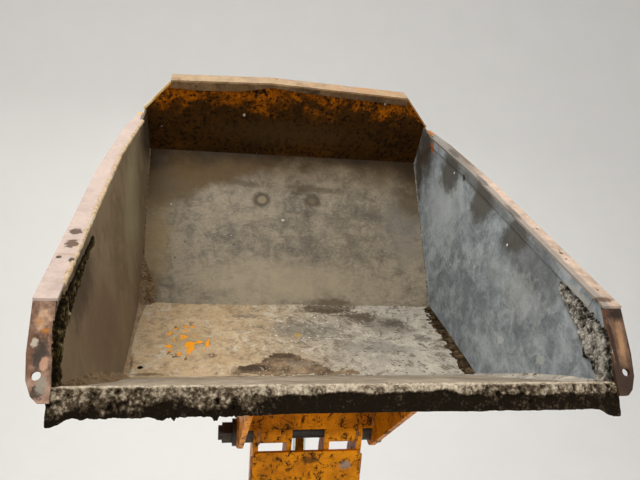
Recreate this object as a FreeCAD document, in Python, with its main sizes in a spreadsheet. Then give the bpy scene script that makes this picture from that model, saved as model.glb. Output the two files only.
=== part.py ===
# High-tip dumper skip on its lift arm, with the tip ram that turns it.
# The arm stands as it carries the raised skip, and its foot bore is the origin.
# +X is the machine's left-to-right, -Y is forward (the open side), +Z is up.

import FreeCAD
import Part
import Sketcher
import math
import os
import re

from FreeCAD import Placement, Rotation, Vector

os.makedirs("parts", exist_ok=True)
doc = FreeCAD.newDocument("high_tip_skip")

# Driving dimensions, in millimetres and degrees
SIZES = {
    # Lift arm, measured along it from the foot bore
    "arm_length": 850,
    "arm_lean": 28,
    "arm_width": 264,
    "arm_side_thick": 12,
    "arm_front_thick": 8,
    "arm_front_ahead": 35,
    "arm_rear_behind": 64,
    "arm_window_drop": 36,
    "arm_head_taper": 84,
    "arm_foot_taper": 120,
    "arm_front_start": 62,
    "arm_corner_radius": 12,
    "head_radius": 30,
    "boss_radius": 27,
    "boss_gap": 104,
    "inner_web_thick": 12,
    "inner_web_drop": 150,
    "inner_web_depth": 45,
    "foot_eye_radius": 56,
    "foot_tube_radius": 45,
    "foot_bore_radius": 25,
    "foot_tube_length": 320,
    "rear_plate_start": 74,
    "rear_plate_length": 120,
    "lift_lug_height": 410,
    "lift_lug_reach": 50,
    "lift_lug_radius": 32,
    "lift_lug_bore_radius": 17.5,
    "lift_lug_gap": 64,
    "lift_lug_thick": 15,
    "lift_lug_base": 130,
    # Pivot pin and what is on it
    "pin_radius": 17,
    "pin_left": 215,
    "pin_right": 186,
    "pin_clearance": 0.3,
    "washer_radius": 25,
    "collar_radius": 32,
    "collar_thick": 14,
    "nut_across": 46,
    "nut_thick": 24,
    # Tip ram
    "ram_foot_height": 250,
    "ram_foot_behind": 15,
    "ram_pin_radius": 15,
    "ram_eye_width": 38,
    "ram_lug_gap": 44,
    "ram_lug_thick": 12,
    "ram_foot_lug_base": 100,
    "ram_foot_lug_radius": 27,
    "barrel_radius": 33,
    "barrel_bore_radius": 28,
    "barrel_start": 34,
    "barrel_base_thick": 18,
    "rod_shown": 162.9,
    "gland_radius": 34.5,
    "gland_length": 30,
    "rod_radius": 17,
    "rod_inside": 140,
    "rod_eye_radius": 26,
    "foot_eye_ring": 26,
    "port_radius": 13,
    "port_reach": 18,
    "port_floor": 4,
    "port_bore_radius": 6,
    "pin_head_radius": 22,
    "pin_head_thick": 8,
    "rod_eye_arm": 120,
    "rod_eye_angle": 25,
    # Skip sheet, its folds seen from the side, and the floor crease over the pivot
    "crease_ahead": 3,
    "crease_above": 130,
    "lip_length": 522,
    "lip_slope": 2.5,
    "floor_length": 391.5,
    "floor_slope": 32.8,
    "back_length": 541.5,
    "back_slope": 79.15,
    "guard_length": 227,
    "guard_slope": 136.6,
    "guard_side_length": 135,
    "sheet_thick": 6,
    "side_thick": 6,
    # The skip's half width over its rims, and how far inside that each corner lies
    "rim_half": 525,
    "rim_front_width": 35,
    "rim_fold_width": 38,
    "rim_taper_inset": 19,
    "rim_tail_inset": 41,
    "crease_low_inset": 84,
    "crease_mid_inset": 77,
    "crease_top_inset": 70,
    "guard_foot_inset": 59,
    "guard_top_inset": 140,
    # Rim, measured up along it from its front corner, and where it ends under the guard's wing
    "rim_fold": 700,
    "rim_straight": 600,
    "rim_taper": 950,
    "rim_tail": 80,
    "rim_thick": 5,
    "wing_behind": 57,
    "wing_above": 64.6,
    "rim_leg_depth": 22,
    "rim_leg_thick": 3,
    "rim_leg_start": 36,
    "top_rim_width": 55,
    "top_rim_thick": 5,
    "top_rim_left": 6,
    "top_rim_dent": 19,
    "top_rim_right": 2,
    "dent_half": 67,
    "edge_bar_width": 19,
    "edge_bar_thick": 5,
    "wing_strip_width": 14,
    # Ears and lip bar
    "ear_slope": 78.9,
    "ear_reach": 140.8,
    "ear_length": 162,
    "ear_thick": 8,
    "ear_clearance": 0.4,
    "eye_drop": 120.5,
    "eye_inset": 21,
    "eye_radius": 7.5,
    "lip_bar_height": 43,
    "lip_bar_thick": 20,
    "lip_corner_drop": 57,
    "lip_corner_inset": 37,
    # Carrier under the skip
    "gusset_half": 156,
    "gusset_thick": 12,
    "gusset_eye_radius": 38,
    "gusset_front": 30,
    "gusset_nose": 12,
    "gusset_rear": 310,
    "beam_thick": 8,
    "beam_ahead": 48,
    "beam_drop_end": 6,
    "rear_beam_place": 262,
    "rear_beam_depth": 95,
    "lug_front": 62,
    "lug_rear": 240,
    "rod_lug_radius": 30,
    "pad_height": 365,
    "pad_half": 81,
    "pad_radius": 36,
    "pad_thick": 26,
    "pad_boss_thick": 12,
    # Small holes in the sheet
    "drain_radius": 5,
    "drain_inset": 34,
    "drain_place": 44,
    "pinhole_radius": 3,
    "pinhole_behind": 45,
    "pinhole_above": 2.6,
}

sheet = doc.addObject("Spreadsheet::Sheet", "Sizes")
for row, (alias, number) in enumerate(SIZES.items(), start=1):
    sheet.set("A%d" % row, alias)
    sheet.set("B%d" % row, str(number))
    sheet.setAlias("B%d" % row, alias)
doc.recompute()


def size(alias):
    """The number that the sheet holds under a name."""
    return float(sheet.get(alias))


def link(formula):
    """A formula in plain size names, as one that refers to the sheet's cells."""
    return re.sub(r"[a-z_]+", lambda word: "Sizes." + word[0] if word[0] in SIZES else word[0], str(formula))


def along(angle, reach, start=(0.0, 0.0)):
    """The side-view point (y, z) at a distance from another, up a slope in degrees."""
    turn = math.radians(angle)
    return (start[0] + reach * math.cos(turn), start[1] + reach * math.sin(turn))


def place_body(item, at, lean=0.0, side=0.0):
    """Put an object at a side-view point, turned about X, and shifted across."""
    item.Placement = Placement(Vector(side, at[0], at[1]), Rotation(Vector(1, 0, 0), lean))


# Places in the side view, as (y, z)
ARM_LEAN = size("arm_lean")
PIVOT = along(90 + ARM_LEAN, size("arm_length"))
FOOT = (0.0, 0.0)


def from_pivot(ahead, above):
    """The side-view point so far ahead of the pivot pin and above it."""
    return (PIVOT[0] - ahead, PIVOT[1] + above)


CREASE_LOW = from_pivot(size("crease_ahead"), size("crease_above"))
LIP_EDGE = along(180 + size("lip_slope"), size("lip_length"), CREASE_LOW)
CREASE_MID = along(size("floor_slope"), size("floor_length"), CREASE_LOW)
CREASE_TOP = along(size("back_slope"), size("back_length"), CREASE_MID)
GUARD_SIDE_END = along(size("guard_slope"), size("guard_side_length"), CREASE_TOP)

# The ears stand on the lip line, just ahead of the lip bar, and carry the rim's front
EAR_DEPTH = size("ear_thick") / math.sin(math.radians(size("ear_slope") - size("lip_slope")))
EAR_TOE = along(180 + size("lip_slope"), EAR_DEPTH + size("ear_clearance"), LIP_EDGE)
RIM_FRONT = along(size("ear_slope"), size("ear_reach"), EAR_TOE)
GUARD_FOOT = (GUARD_SIDE_END[0] - size("wing_behind"), GUARD_SIDE_END[1] - size("wing_above"))
RIM_RISE = (GUARD_FOOT[0] - RIM_FRONT[0], GUARD_FOOT[1] - RIM_FRONT[1])
RIM_LENGTH = math.hypot(*RIM_RISE)
RIM_SLOPE = math.degrees(math.atan2(RIM_RISE[1], RIM_RISE[0]))
RIM_FOLD = along(RIM_SLOPE, size("rim_fold"), RIM_FRONT)
RAM_FOOT = along(ARM_LEAN, size("ram_foot_behind"), along(90 + ARM_LEAN, size("ram_foot_height")))
ROD_EYE = along(size("rod_eye_angle"), size("rod_eye_arm"), PIVOT)
RAM_LENGTH = math.hypot(ROD_EYE[0] - RAM_FOOT[0], ROD_EYE[1] - RAM_FOOT[1])
BARREL_END = RAM_LENGTH - size("rod_shown")
RAM_LEAN = math.degrees(math.atan2(ROD_EYE[1] - RAM_FOOT[1], ROD_EYE[0] - RAM_FOOT[0])) - 90

SIDES = (("right", 1), ("left", -1))


def half_width(inset):
    """The half width so far inside the rims' outer edges."""
    return size("rim_half") - size(inset)


# Every finished sub-part, by node name
NODES = []


def finish(item, label):
    """Name a finished sub-part and list it for export."""
    item.Label = label
    NODES.append(item)
    return item


def pair(label, items):
    """Two like pieces of one body that don't touch, as one sub-part."""
    for item in items:
        NODES.remove(item)
    both = doc.addObject("Part::Compound", label)
    both.Links = items
    return finish(both, label)


def hold(item, prop, formula):
    """Bind a property to the sheet, when it is given as a formula."""
    item.setExpression(prop, link(formula))


def new_sketch(body, name, plane):
    """An empty sketch on one of its body's own origin planes."""
    sketch = body.newObject("Sketcher::SketchObject", name)
    origin = [part for part in body.Origin.OriginFeatures if part.Role == plane][0]
    sketch.AttachmentSupport = [(origin, "")]
    sketch.MapMode = "FlatFace"
    return sketch


def draw_outline(sketch, points):
    """A closed outline of straight lines, each corner held at its place."""
    first = sketch.GeometryCount
    for index, start in enumerate(points):
        end = points[(index + 1) % len(points)]
        sketch.addGeometry(Part.LineSegment(Vector(start[0], start[1], 0), Vector(end[0], end[1], 0)))
    for index, corner in enumerate(points):
        line = first + index
        previous = first + (index - 1) % len(points)
        sketch.addConstraint(Sketcher.Constraint("Coincident", previous, 2, line, 1))
        sketch.addConstraint(Sketcher.Constraint("DistanceX", line, 1, corner[0]))
        sketch.addConstraint(Sketcher.Constraint("DistanceY", line, 1, corner[1]))


def draw_circle(sketch, centre, radius):
    """A circle whose radius is bound to the sheet."""
    spot = Vector(centre[0], centre[1], 0)
    circle = sketch.addGeometry(Part.Circle(spot, Vector(0, 0, 1), 10.0))
    sketch.addConstraint(Sketcher.Constraint("DistanceX", circle, 3, centre[0]))
    sketch.addConstraint(Sketcher.Constraint("DistanceY", circle, 3, centre[1]))
    held = sketch.addConstraint(Sketcher.Constraint("Radius", circle, 10.0))
    sketch.setExpression("Constraints[%d]" % held, link(radius))


def pad(body, sketch, length, middle=False, backward=False):
    """Raise a sketch into a solid by a length from the sheet."""
    feature = body.newObject("PartDesign::Pad", sketch.Name + "Pad")
    feature.Profile = sketch
    feature.Midplane = middle
    feature.Reversed = backward
    hold(feature, "Length", length)
    return feature


def pocket_through(body, sketch):
    """Cut a sketch right through its body, both ways."""
    feature = body.newObject("PartDesign::Pocket", sketch.Name + "Pocket")
    feature.Profile = sketch
    feature.Type = 1
    feature.Midplane = True
    return feature


def side_plate(label, outline, thick, near, discs=(), bores=(), at=(0.0, 0.0), lean=0.0, mirror=False):
    """A flat plate seen from the side, from its near face outwards.

    discs and bores are rows of (y, z, radius).
    """
    body = doc.addObject("PartDesign::Body", label)
    sketch = new_sketch(body, label + "_outline", "YZ_Plane")
    draw_outline(sketch, outline)
    pad(body, sketch, thick, backward=mirror)
    for number, (y, z, radius) in enumerate(discs):
        round_sketch = new_sketch(body, "%s_round%d" % (label, number), "YZ_Plane")
        draw_circle(round_sketch, (y, z), radius)
        pad(body, round_sketch, thick, backward=mirror)
    for number, (y, z, radius) in enumerate(bores):
        bore_sketch = new_sketch(body, "%s_bore%d" % (label, number), "YZ_Plane")
        draw_circle(bore_sketch, (y, z), radius)
        pocket_through(body, bore_sketch)
    place_body(body, at, lean)
    sign = "-1" if mirror else "1"
    hold(body, "Placement.Base.x", "%s * (%s)" % (sign, near))
    return finish(body, label)


def both_sides(label, outline, thick, near, **options):
    """The same plate on the left and on the right."""
    right = side_plate(label + "_right", outline, thick, near, **options)
    left = side_plate(label + "_left", outline, thick, near, mirror=True, **options)
    return [right, left]


def cross_ring(label, radius, bore, near, length, at, sign=1):
    """A collar, boss or washer on an axis that runs across the machine."""
    body = doc.addObject("PartDesign::Body", label)
    sketch = new_sketch(body, label + "_section", "YZ_Plane")
    draw_circle(sketch, (0.0, 0.0), radius)
    if bore:
        draw_circle(sketch, (0.0, 0.0), bore)
    pad(body, sketch, length, backward=sign < 0)
    place_body(body, at)
    hold(body, "Placement.Base.x", "%d * (%s)" % (sign, near))
    return finish(body, label)


def cross_plate(label, outline, span, at=(0.0, 0.0), lean=0.0):
    """A bar or plate with one side-view section across the machine."""
    body = doc.addObject("PartDesign::Body", label)
    sketch = new_sketch(body, label + "_section", "YZ_Plane")
    draw_outline(sketch, outline)
    pad(body, sketch, span, middle=True)
    place_body(body, at, lean)
    return finish(body, label)


# Lift arm: two sides, a front plate, a head that carries the pin and a foot tube
arm_length = size("arm_length")
front_inside = -size("arm_front_ahead") + size("arm_front_thick")
rear_edge = size("arm_rear_behind")
web_rear = size("inner_web_depth")


def make_arm_sides():
    head = size("head_radius")
    foot = size("foot_eye_radius")
    outline = [
        (front_inside, size("arm_front_start")),
        (front_inside, arm_length),
        (head * 0.8, arm_length + head * 0.6),
        (rear_edge, arm_length - size("arm_head_taper")),
        (rear_edge, size("arm_foot_taper")),
        (foot * 0.8, foot * 0.6),
        (-foot * 0.8, foot * 0.6),
    ]
    both_sides("arm_side_plate", outline, "arm_side_thick", "arm_width / 2 - arm_side_thick",
               discs=[(0, arm_length, "head_radius"), (0, 0, "foot_eye_radius")],
               bores=[(0, arm_length, "pin_radius + pin_clearance"), (0, 0, "foot_tube_radius")],
               lean=ARM_LEAN)


def make_arm_front():
    label = "arm_front_plate"
    body = doc.addObject("PartDesign::Body", label)
    sketch = new_sketch(body, label + "_outline", "XZ_Plane")
    half = size("arm_width") / 2
    cut = size("arm_corner_radius")
    top = arm_length - size("arm_window_drop")
    low = size("arm_front_start")
    draw_outline(sketch, [(-half, low), (half, low), (half, top - cut), (half - cut, top),
                          (cut - half, top), (-half, top - cut)])
    pad(body, sketch, "arm_front_thick")
    place_body(body, along(ARM_LEAN, front_inside), ARM_LEAN)
    finish(body, label)


def make_arm_inside():
    low = arm_length - size("inner_web_drop")
    head = size("head_radius")
    web = [(front_inside, low), (front_inside, arm_length), (head * 0.8, arm_length + head * 0.6),
           (web_rear, arm_length - 70), (web_rear, low + 40), (0, low)]
    webs = both_sides("arm_head_web", web, "inner_web_thick", "boss_gap / 2 - inner_web_thick",
                      discs=[(0, arm_length, "head_radius")],
                      bores=[(0, arm_length, "pin_radius + pin_clearance")], lean=ARM_LEAN)
    pair("arm_head_webs", webs)
    length = "arm_width / 2 - arm_side_thick - boss_gap / 2"
    pair("arm_head_bosses", [cross_ring("arm_head_boss_" + side, "boss_radius", "pin_radius + pin_clearance",
                                        "boss_gap / 2", length, PIVOT, sign) for side, sign in SIDES])
    low = size("rear_plate_start")
    high = low + size("rear_plate_length")
    thick = size("arm_front_thick")
    outline = [(rear_edge - thick, low + 40), (rear_edge, low + 46), (rear_edge, high + 40),
               (rear_edge - thick, high + 40)]
    cross_plate("arm_rear_plate", outline, "arm_width - 2 * arm_side_thick", lean=ARM_LEAN)


def make_arm_foot():
    body = doc.addObject("PartDesign::Body", "arm_foot_tube")
    sketch = new_sketch(body, "arm_foot_tube_section", "YZ_Plane")
    draw_circle(sketch, FOOT, "foot_tube_radius")
    draw_circle(sketch, FOOT, "foot_bore_radius")
    pad(body, sketch, "foot_tube_length", middle=True)
    finish(body, "arm_foot_tube")


def make_arm_lugs():
    height = size("ram_foot_height")
    behind = size("ram_foot_behind")
    half = size("ram_foot_lug_base") / 2
    ring = size("ram_foot_lug_radius")
    outline = [(front_inside, height - half), (behind, height - ring), (behind, height + ring),
               (front_inside, height + half)]
    pair("ram_foot_lugs", both_sides("ram_foot_lug", outline, "ram_lug_thick", "ram_lug_gap / 2",
                                     discs=[(behind, height, "ram_foot_lug_radius")],
                                     bores=[(behind, height, "ram_pin_radius")], lean=ARM_LEAN))
    height = size("lift_lug_height")
    face = -size("arm_front_ahead")
    reach = face - size("lift_lug_reach")
    half = size("lift_lug_base") / 2
    ring = size("lift_lug_radius")
    outline = [(face, height - half), (face, height + half), (reach - ring * 0.6, height + ring * 0.8),
               (reach - ring * 0.6, height - ring * 0.8)]
    pair("lift_ram_lugs", both_sides("lift_ram_lug", outline, "lift_lug_thick", "lift_lug_gap / 2",
                                     discs=[(reach, height, "lift_lug_radius")],
                                     bores=[(reach, height, "lift_lug_bore_radius")], lean=ARM_LEAN))
    cross_ring("ram_foot_pin", "ram_pin_radius", None, "-ram_lug_gap / 2 - ram_lug_thick - pin_head_thick",
               "ram_lug_gap + 2 * ram_lug_thick + 2 * pin_head_thick", RAM_FOOT)


# Skip sheet: four plates, each in its own frame with y up the slope and z inside
def make_panel(label, start, slope, length, half_start, half_end, bend_start, bend_end,
               corner=None, holes=()):
    """A flat panel mitred at its folds and tapered to the skip's width.

    corner is (distance up the panel, half width there), where its sides bend in.
    holes are rows of (across, up the panel, radius).
    """
    thick = size("sheet_thick")
    body = doc.addObject("PartDesign::Body", label)
    profile = new_sketch(body, label + "_profile", "YZ_Plane")
    low = -thick * math.tan(math.radians(bend_start) / 2)
    high = length + thick * math.tan(math.radians(bend_end) / 2)
    draw_outline(profile, [(0, 0), (length, 0), (high, -thick), (low, -thick)])
    pad(body, profile, "2 * rim_half", middle=True)
    side = new_sketch(body, label + "_sides", "XY_Plane")
    wide = size("rim_half") + 10
    over = 20.0
    rows = [(0.0, half_start), (length, half_end)]
    if corner:
        rows = [(0.0, half_start), corner, (length, half_end)]
    lean_in = (rows[1][1] - rows[0][1]) / rows[1][0]
    lean_out = (rows[-1][1] - rows[-2][1]) / (rows[-1][0] - rows[-2][0])
    edge = [(rows[0][1] - lean_in * over, -over)]
    edge += [(half, reach) for reach, half in rows[1:-1]]
    edge += [(rows[-1][1] + lean_out * over, length + over)]
    edge += [(wide, length + over), (wide, -over)]
    for sign in (1, -1):
        draw_outline(side, [(sign * x, y) for x, y in edge])
    pocket_through(body, side)
    for number, (across, up, radius) in enumerate(holes):
        hole = new_sketch(body, "%s_hole%d" % (label, number), "XY_Plane")
        draw_circle(hole, (across, up), radius)
        pocket_through(body, hole)
    place_body(body, start, slope)
    finish(body, label)


def make_skip_sheet():
    side = size("side_thick")
    floor_bend = size("floor_slope") - size("lip_slope")
    back_bend = size("back_slope") - size("floor_slope")
    guard_bend = size("guard_slope") - size("back_slope")
    lip_start = along(size("lip_slope"), size("lip_bar_thick"), LIP_EDGE)
    low = half_width("crease_low_inset") + side
    mid = half_width("crease_mid_inset") + side
    top = half_width("crease_top_inset") + side
    drain = (size("drain_inset") + side - low, size("drain_place"), "drain_radius")
    make_panel("skip_lip_plate", lip_start, size("lip_slope"), size("lip_length") - size("lip_bar_thick"),
               main_side_plane()(lip_start) + side, low, 0, floor_bend)
    make_panel("skip_floor_plate", CREASE_LOW, size("floor_slope"), size("floor_length"),
               low, mid, floor_bend, back_bend, holes=[drain])
    make_panel("skip_back_plate", CREASE_MID, size("back_slope"), size("back_length"),
               mid, top, back_bend, guard_bend)
    make_panel("skip_guard_plate", CREASE_TOP, size("guard_slope"), size("guard_length"),
               top, half_width("guard_top_inset"), guard_bend, 0,
               corner=(size("guard_side_length"), guard_side_half() + side))


def plane_through(a, b, c):
    """The half width at any side-view point of the plane through three (x, y, z) corners."""
    p, q, r = Vector(*a), Vector(*b), Vector(*c)
    normal = (q - p).cross(r - p)

    def half(spot):
        return p.x - (normal.y * (spot[0] - p.y) + normal.z * (spot[1] - p.z)) / normal.x
    return half


def corner3(inset, spot):
    """A corner of the skip's right side as (x, y, z), from how far it lies inside the rim's edge."""
    return (half_width(inset), spot[0], spot[1])


def on_plane(plane, spot):
    """A point of a side's plane as (x, y, z)."""
    return (plane(spot), spot[0], spot[1])


def main_side_plane():
    return plane_through(corner3("rim_front_width", RIM_FRONT), corner3("rim_fold_width", RIM_FOLD),
                         corner3("crease_low_inset", CREASE_LOW))


def guard_side_plane():
    return plane_through(corner3("crease_top_inset", CREASE_TOP), corner3("guard_foot_inset", GUARD_FOOT),
                         corner3("rim_fold_width", RIM_FOLD))


def guard_side_half():
    return guard_side_plane()(GUARD_SIDE_END)


def prism(corners, thick):
    """A flat facet with its thickness across the machine."""
    wire = Part.makePolygon([Vector(*corner) for corner in corners + corners[:1]])
    return Part.Face(wire).extrude(Vector(thick, 0, 0))


def folded_sheet(facets, thick):
    """A sheet of flat facets that meet at shared corners, with its thickness across the machine."""
    shift = Vector(thick, 0, 0)
    faces = []
    edges = []
    for facet in facets:
        corners = [Vector(*corner) for corner in facet]
        faces.append(Part.Face(Part.makePolygon(corners + corners[:1])))
        faces.append(Part.Face(Part.makePolygon([corner + shift for corner in corners + corners[:1]])))
        edges += list(zip(facet, facet[1:] + facet[:1]))
    for start, end in edges:
        if (end, start) not in edges:
            a, b = Vector(*start), Vector(*end)
            faces.append(Part.Face(Part.makePolygon([a, b, b + shift, a + shift, a])))
    return Part.Solid(Part.Shell(faces))


def mirrored(shape):
    return shape.mirror(Vector(0, 0, 0), Vector(1, 0, 0))


def add_shape(label, shape):
    """A sub-part whose warped facets no sketch can hold."""
    item = doc.addObject("Part::Feature", label)
    item.Shape = shape
    item.Placement = Placement()
    return finish(item, label)


def make_skip_sides():
    thick = size("side_thick")
    ear_thick = size("ear_thick")
    main = main_side_plane()
    at_rim = ear_thick / math.sin(math.radians(size("ear_slope") - RIM_SLOPE))
    rim_start = along(RIM_SLOPE, at_rim, RIM_FRONT)
    toe_start = along(size("lip_slope"), EAR_DEPTH, EAR_TOE)
    low = corner3("crease_low_inset", CREASE_LOW)
    mid = corner3("crease_mid_inset", CREASE_MID)
    top = corner3("crease_top_inset", CREASE_TOP)
    fold = corner3("rim_fold_width", RIM_FOLD)
    foot = corner3("guard_foot_inset", GUARD_FOOT)
    facets = [
        [on_plane(main, toe_start), low, fold, on_plane(main, rim_start)],
        [low, mid, fold],
        [mid, top, fold],
        [top, on_plane(guard_side_plane(), GUARD_SIDE_END), foot, fold],
    ]
    plain = folded_sheet(facets, thick)
    spot = Vector(0, RIM_FOLD[0] + size("pinhole_behind"), RIM_FOLD[1] + size("pinhole_above"))
    right = plain.cut(Part.makeCylinder(size("pinhole_radius"), size("rim_half"), spot, Vector(1, 0, 0)))
    add_shape("skip_side_right", right)
    add_shape("skip_side_left", mirrored(plain))
    make_rim_legs(plain)


def make_rim_legs(side):
    """The inner leg of the rim section, lapped over the inside of each wall."""
    slope = RIM_SLOPE
    depth = size("rim_leg_depth")
    thick = size("rim_leg_thick")
    parts = []
    for plane, start, end in ((main_side_plane(), size("rim_leg_start"), size("rim_fold")),
                              (guard_side_plane(), size("rim_fold"), RIM_LENGTH - 8)):
        spots = [along(slope, start, RIM_FRONT), along(slope, end, RIM_FRONT),
                 along(slope - 90, depth, along(slope, end, RIM_FRONT)),
                 along(slope - 90, depth, along(slope, start, RIM_FRONT))]
        parts.append(prism([(plane(spot) - thick, *spot) for spot in spots], thick + 2))
    right = parts[0].fuse(parts[1]).cut(side)
    add_shape("skip_rim_leg_right", max(right.Solids, key=lambda solid: solid.Volume))
    add_shape("skip_rim_leg_left", mirrored(max(right.Solids, key=lambda solid: solid.Volume)))


def make_skip_rims():
    slope = RIM_SLOPE
    leg = size("rim_leg_thick")
    behind_wall = half_width("guard_foot_inset") + size("side_thick") + 1
    inner_rows = [  # distance up the rim, inner half width
        (0.0, half_width("rim_front_width") - leg),
        (size("rim_fold"), half_width("rim_fold_width") - leg),
        (RIM_LENGTH - 1, half_width("guard_foot_inset") - leg),
        (RIM_LENGTH - 1, behind_wall),
        (RIM_LENGTH + size("rim_tail"), behind_wall),
    ]
    outer_rows = [  # distance up the rim, outer half width
        (0.0, size("rim_half")),
        (size("rim_straight"), size("rim_half")),
        (size("rim_taper"), half_width("rim_taper_inset")),
        (RIM_LENGTH + size("rim_tail"), half_width("rim_tail_inset")),
    ]
    inner = [(half, *along(slope, reach, RIM_FRONT)) for reach, half in inner_rows]
    outer = [(half, *along(slope, reach, RIM_FRONT)) for reach, half in outer_rows]
    wire = Part.makePolygon([Vector(*corner) for corner in inner + outer[::-1] + inner[:1]])
    up = along(slope + 90, size("rim_thick"))
    right = Part.Face(wire).extrude(Vector(0, up[0], up[1]))
    add_shape("skip_rim_right", right)
    add_shape("skip_rim_left", mirrored(right))


def guard_frame_plate(label, outline, thick):
    """A plate drawn on the guard's inner face, (across, up the guard), and its thickness down from there."""
    body = doc.addObject("PartDesign::Body", label)
    sketch = new_sketch(body, label + "_outline", "XY_Plane")
    draw_outline(sketch, outline)
    pad(body, sketch, thick, backward=True)
    place_body(body, CREASE_TOP, size("guard_slope"))
    return finish(body, label)


def make_guard_edges():
    half = half_width("guard_top_inset")
    thick = size("top_rim_thick")
    end = size("guard_length")
    line = [(-half, end + size("top_rim_left")), (-size("dent_half"), end + size("top_rim_dent")),
            (half, end + size("top_rim_right"))]
    upper = [(x, y + thick) for x, y in line[::-1]]
    guard_frame_plate("skip_rim_top", line + upper, "top_rim_width")
    width = size("edge_bar_width")
    left, dent, right = [up - width for across, up in line]
    lower = [(-half, left), (-half * 0.77, left - 2), (-half * 0.44, left + 4),
             (-size("dent_half"), dent + 11), (half * 0.06, dent + 1), (half * 0.5, right + 9), (half, right)]
    body = doc.addObject("PartDesign::Body", "skip_edge_bar")
    sketch = new_sketch(body, "skip_edge_bar_outline", "XY_Plane")
    draw_outline(sketch, lower + line[::-1])
    pad(body, sketch, "edge_bar_thick")
    place_body(body, CREASE_TOP, size("guard_slope"))
    finish(body, "skip_edge_bar")
    corner = (guard_side_half() + size("side_thick"), size("guard_side_length"))
    top = (half, end)
    length = math.hypot(top[0] - corner[0], top[1] - corner[1])
    out = ((top[1] - corner[1]) / length * thick, (corner[0] - top[0]) / length * thick)
    strip = [corner, (corner[0] + out[0], corner[1] + out[1]), (top[0] + out[0], top[1] + out[1]), top]
    pair("skip_wing_strips", [guard_frame_plate("skip_wing_strip_" + side, [(sign * x, y) for x, y in strip],
                                                "wing_strip_width") for side, sign in SIDES])


def make_ears():
    ear = size("ear_length")
    inner = half_width("rim_front_width")
    toe = main_side_plane()(EAR_TOE)
    outer = size("rim_half")
    outline = [(inner, 0), (outer, 0), (outer - 2, -0.53 * ear), (outer - 7, -0.79 * ear),
               (outer - 17, -0.94 * ear), (outer - 27, -ear), (toe, -ear), (toe, -size("ear_reach"))]
    ears = []
    for side, sign in SIDES:
        label = "skip_ear_" + side
        body = doc.addObject("PartDesign::Body", label)
        sketch = new_sketch(body, label + "_outline", "XY_Plane")
        draw_outline(sketch, [(sign * x, y) for x, y in outline])
        pad(body, sketch, "ear_thick", backward=True)
        bore = new_sketch(body, label + "_eye", "XY_Plane")
        draw_circle(bore, (sign * half_width("eye_inset"), -size("eye_drop")), "eye_radius")
        pocket_through(body, bore)
        place_body(body, RIM_FRONT, size("ear_slope"))
        ears.append(finish(body, label))
    pair("skip_ears", ears)


def make_lip_bar():
    label = "skip_lip_bar"
    body = doc.addObject("PartDesign::Body", label)
    sketch = new_sketch(body, label + "_outline", "XZ_Plane")
    half = main_side_plane()(LIP_EDGE) + size("side_thick")
    tall = size("lip_bar_height")
    drop = size("lip_corner_drop")
    end = half_width("lip_corner_inset")
    right = [(half - 34, -tall), (half - 6, -drop), (end, -tall * 0.55), (half, 0)]
    left = [(-x, z) for x, z in right[::-1]]
    draw_outline(sketch, right + left)
    pad(body, sketch, "lip_bar_thick", backward=True)
    place_body(body, LIP_EDGE, size("lip_slope"))
    finish(body, label)


# Carrier under the skip: gussets, beams, rod lugs, pivot pin and rest pads
def under(start, slope, reach):
    """A point on the outside of a panel."""
    return along(slope - 90, size("sheet_thick"), along(slope, reach, start))


def lip_under_at(y):
    """The height of the lip plate's underside over a side-view place."""
    start = under(LIP_EDGE, size("lip_slope"), 0)
    return start[1] + (y - start[0]) * math.tan(math.radians(size("lip_slope")))


def fold_under():
    """Where the undersides of the lip plate and the floor meet."""
    turn = (size("floor_slope") - size("lip_slope")) / 2
    reach = size("sheet_thick") / math.cos(math.radians(turn))
    return along(size("lip_slope") + turn - 90, reach, CREASE_LOW)


def make_carrier():
    ring = size("gusset_eye_radius")
    nose = under(LIP_EDGE, size("lip_slope"), size("gusset_front") + size("lip_bar_thick"))
    rear = under(CREASE_LOW, size("floor_slope"), size("gusset_rear"))
    outline = [nose, fold_under(), rear, (rear[0] + 6, rear[1] - 22),
               (PIVOT[0] + ring * 0.83, PIVOT[1] - ring * 0.55),
               (PIVOT[0] - ring * 0.30, PIVOT[1] - ring * 0.953), (nose[0], nose[1] - size("gusset_nose"))]
    pair("skip_gussets", both_sides("skip_gusset", outline, "gusset_thick", "gusset_half",
                                    discs=[(*PIVOT, "gusset_eye_radius")], bores=[(*PIVOT, "pin_radius")]))
    front = PIVOT[0] - size("beam_ahead")
    back = front + size("beam_thick")
    low = PIVOT[1] + size("beam_drop_end")
    cross_plate("skip_front_beam", [(front, low), (back, low), (back, lip_under_at(back)),
                                    (front, lip_under_at(front))], "2 * gusset_half")
    thick = size("beam_thick")
    deep = size("rear_beam_depth")
    cross_plate("skip_rear_beam", [(0, 0), (thick, 0), (thick, -deep), (0, -deep)], "2 * gusset_half",
                under(CREASE_LOW, size("floor_slope"), size("rear_beam_place")), size("floor_slope"))
    lug_front = under(CREASE_LOW, size("floor_slope"), size("lug_front"))
    lug_rear = under(CREASE_LOW, size("floor_slope"), size("lug_rear"))
    ring = size("rod_lug_radius")
    outline = [lug_front, lug_rear, (ROD_EYE[0] + ring * 0.92, ROD_EYE[1] - ring * 0.39),
               (ROD_EYE[0] - ring * 0.97, ROD_EYE[1] - ring * 0.25)]
    pair("skip_rod_lugs", both_sides("skip_rod_lug", outline, "ram_lug_thick", "ram_lug_gap / 2",
                                     discs=[(*ROD_EYE, "rod_lug_radius")],
                                     bores=[(*ROD_EYE, "ram_pin_radius")]))


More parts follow.
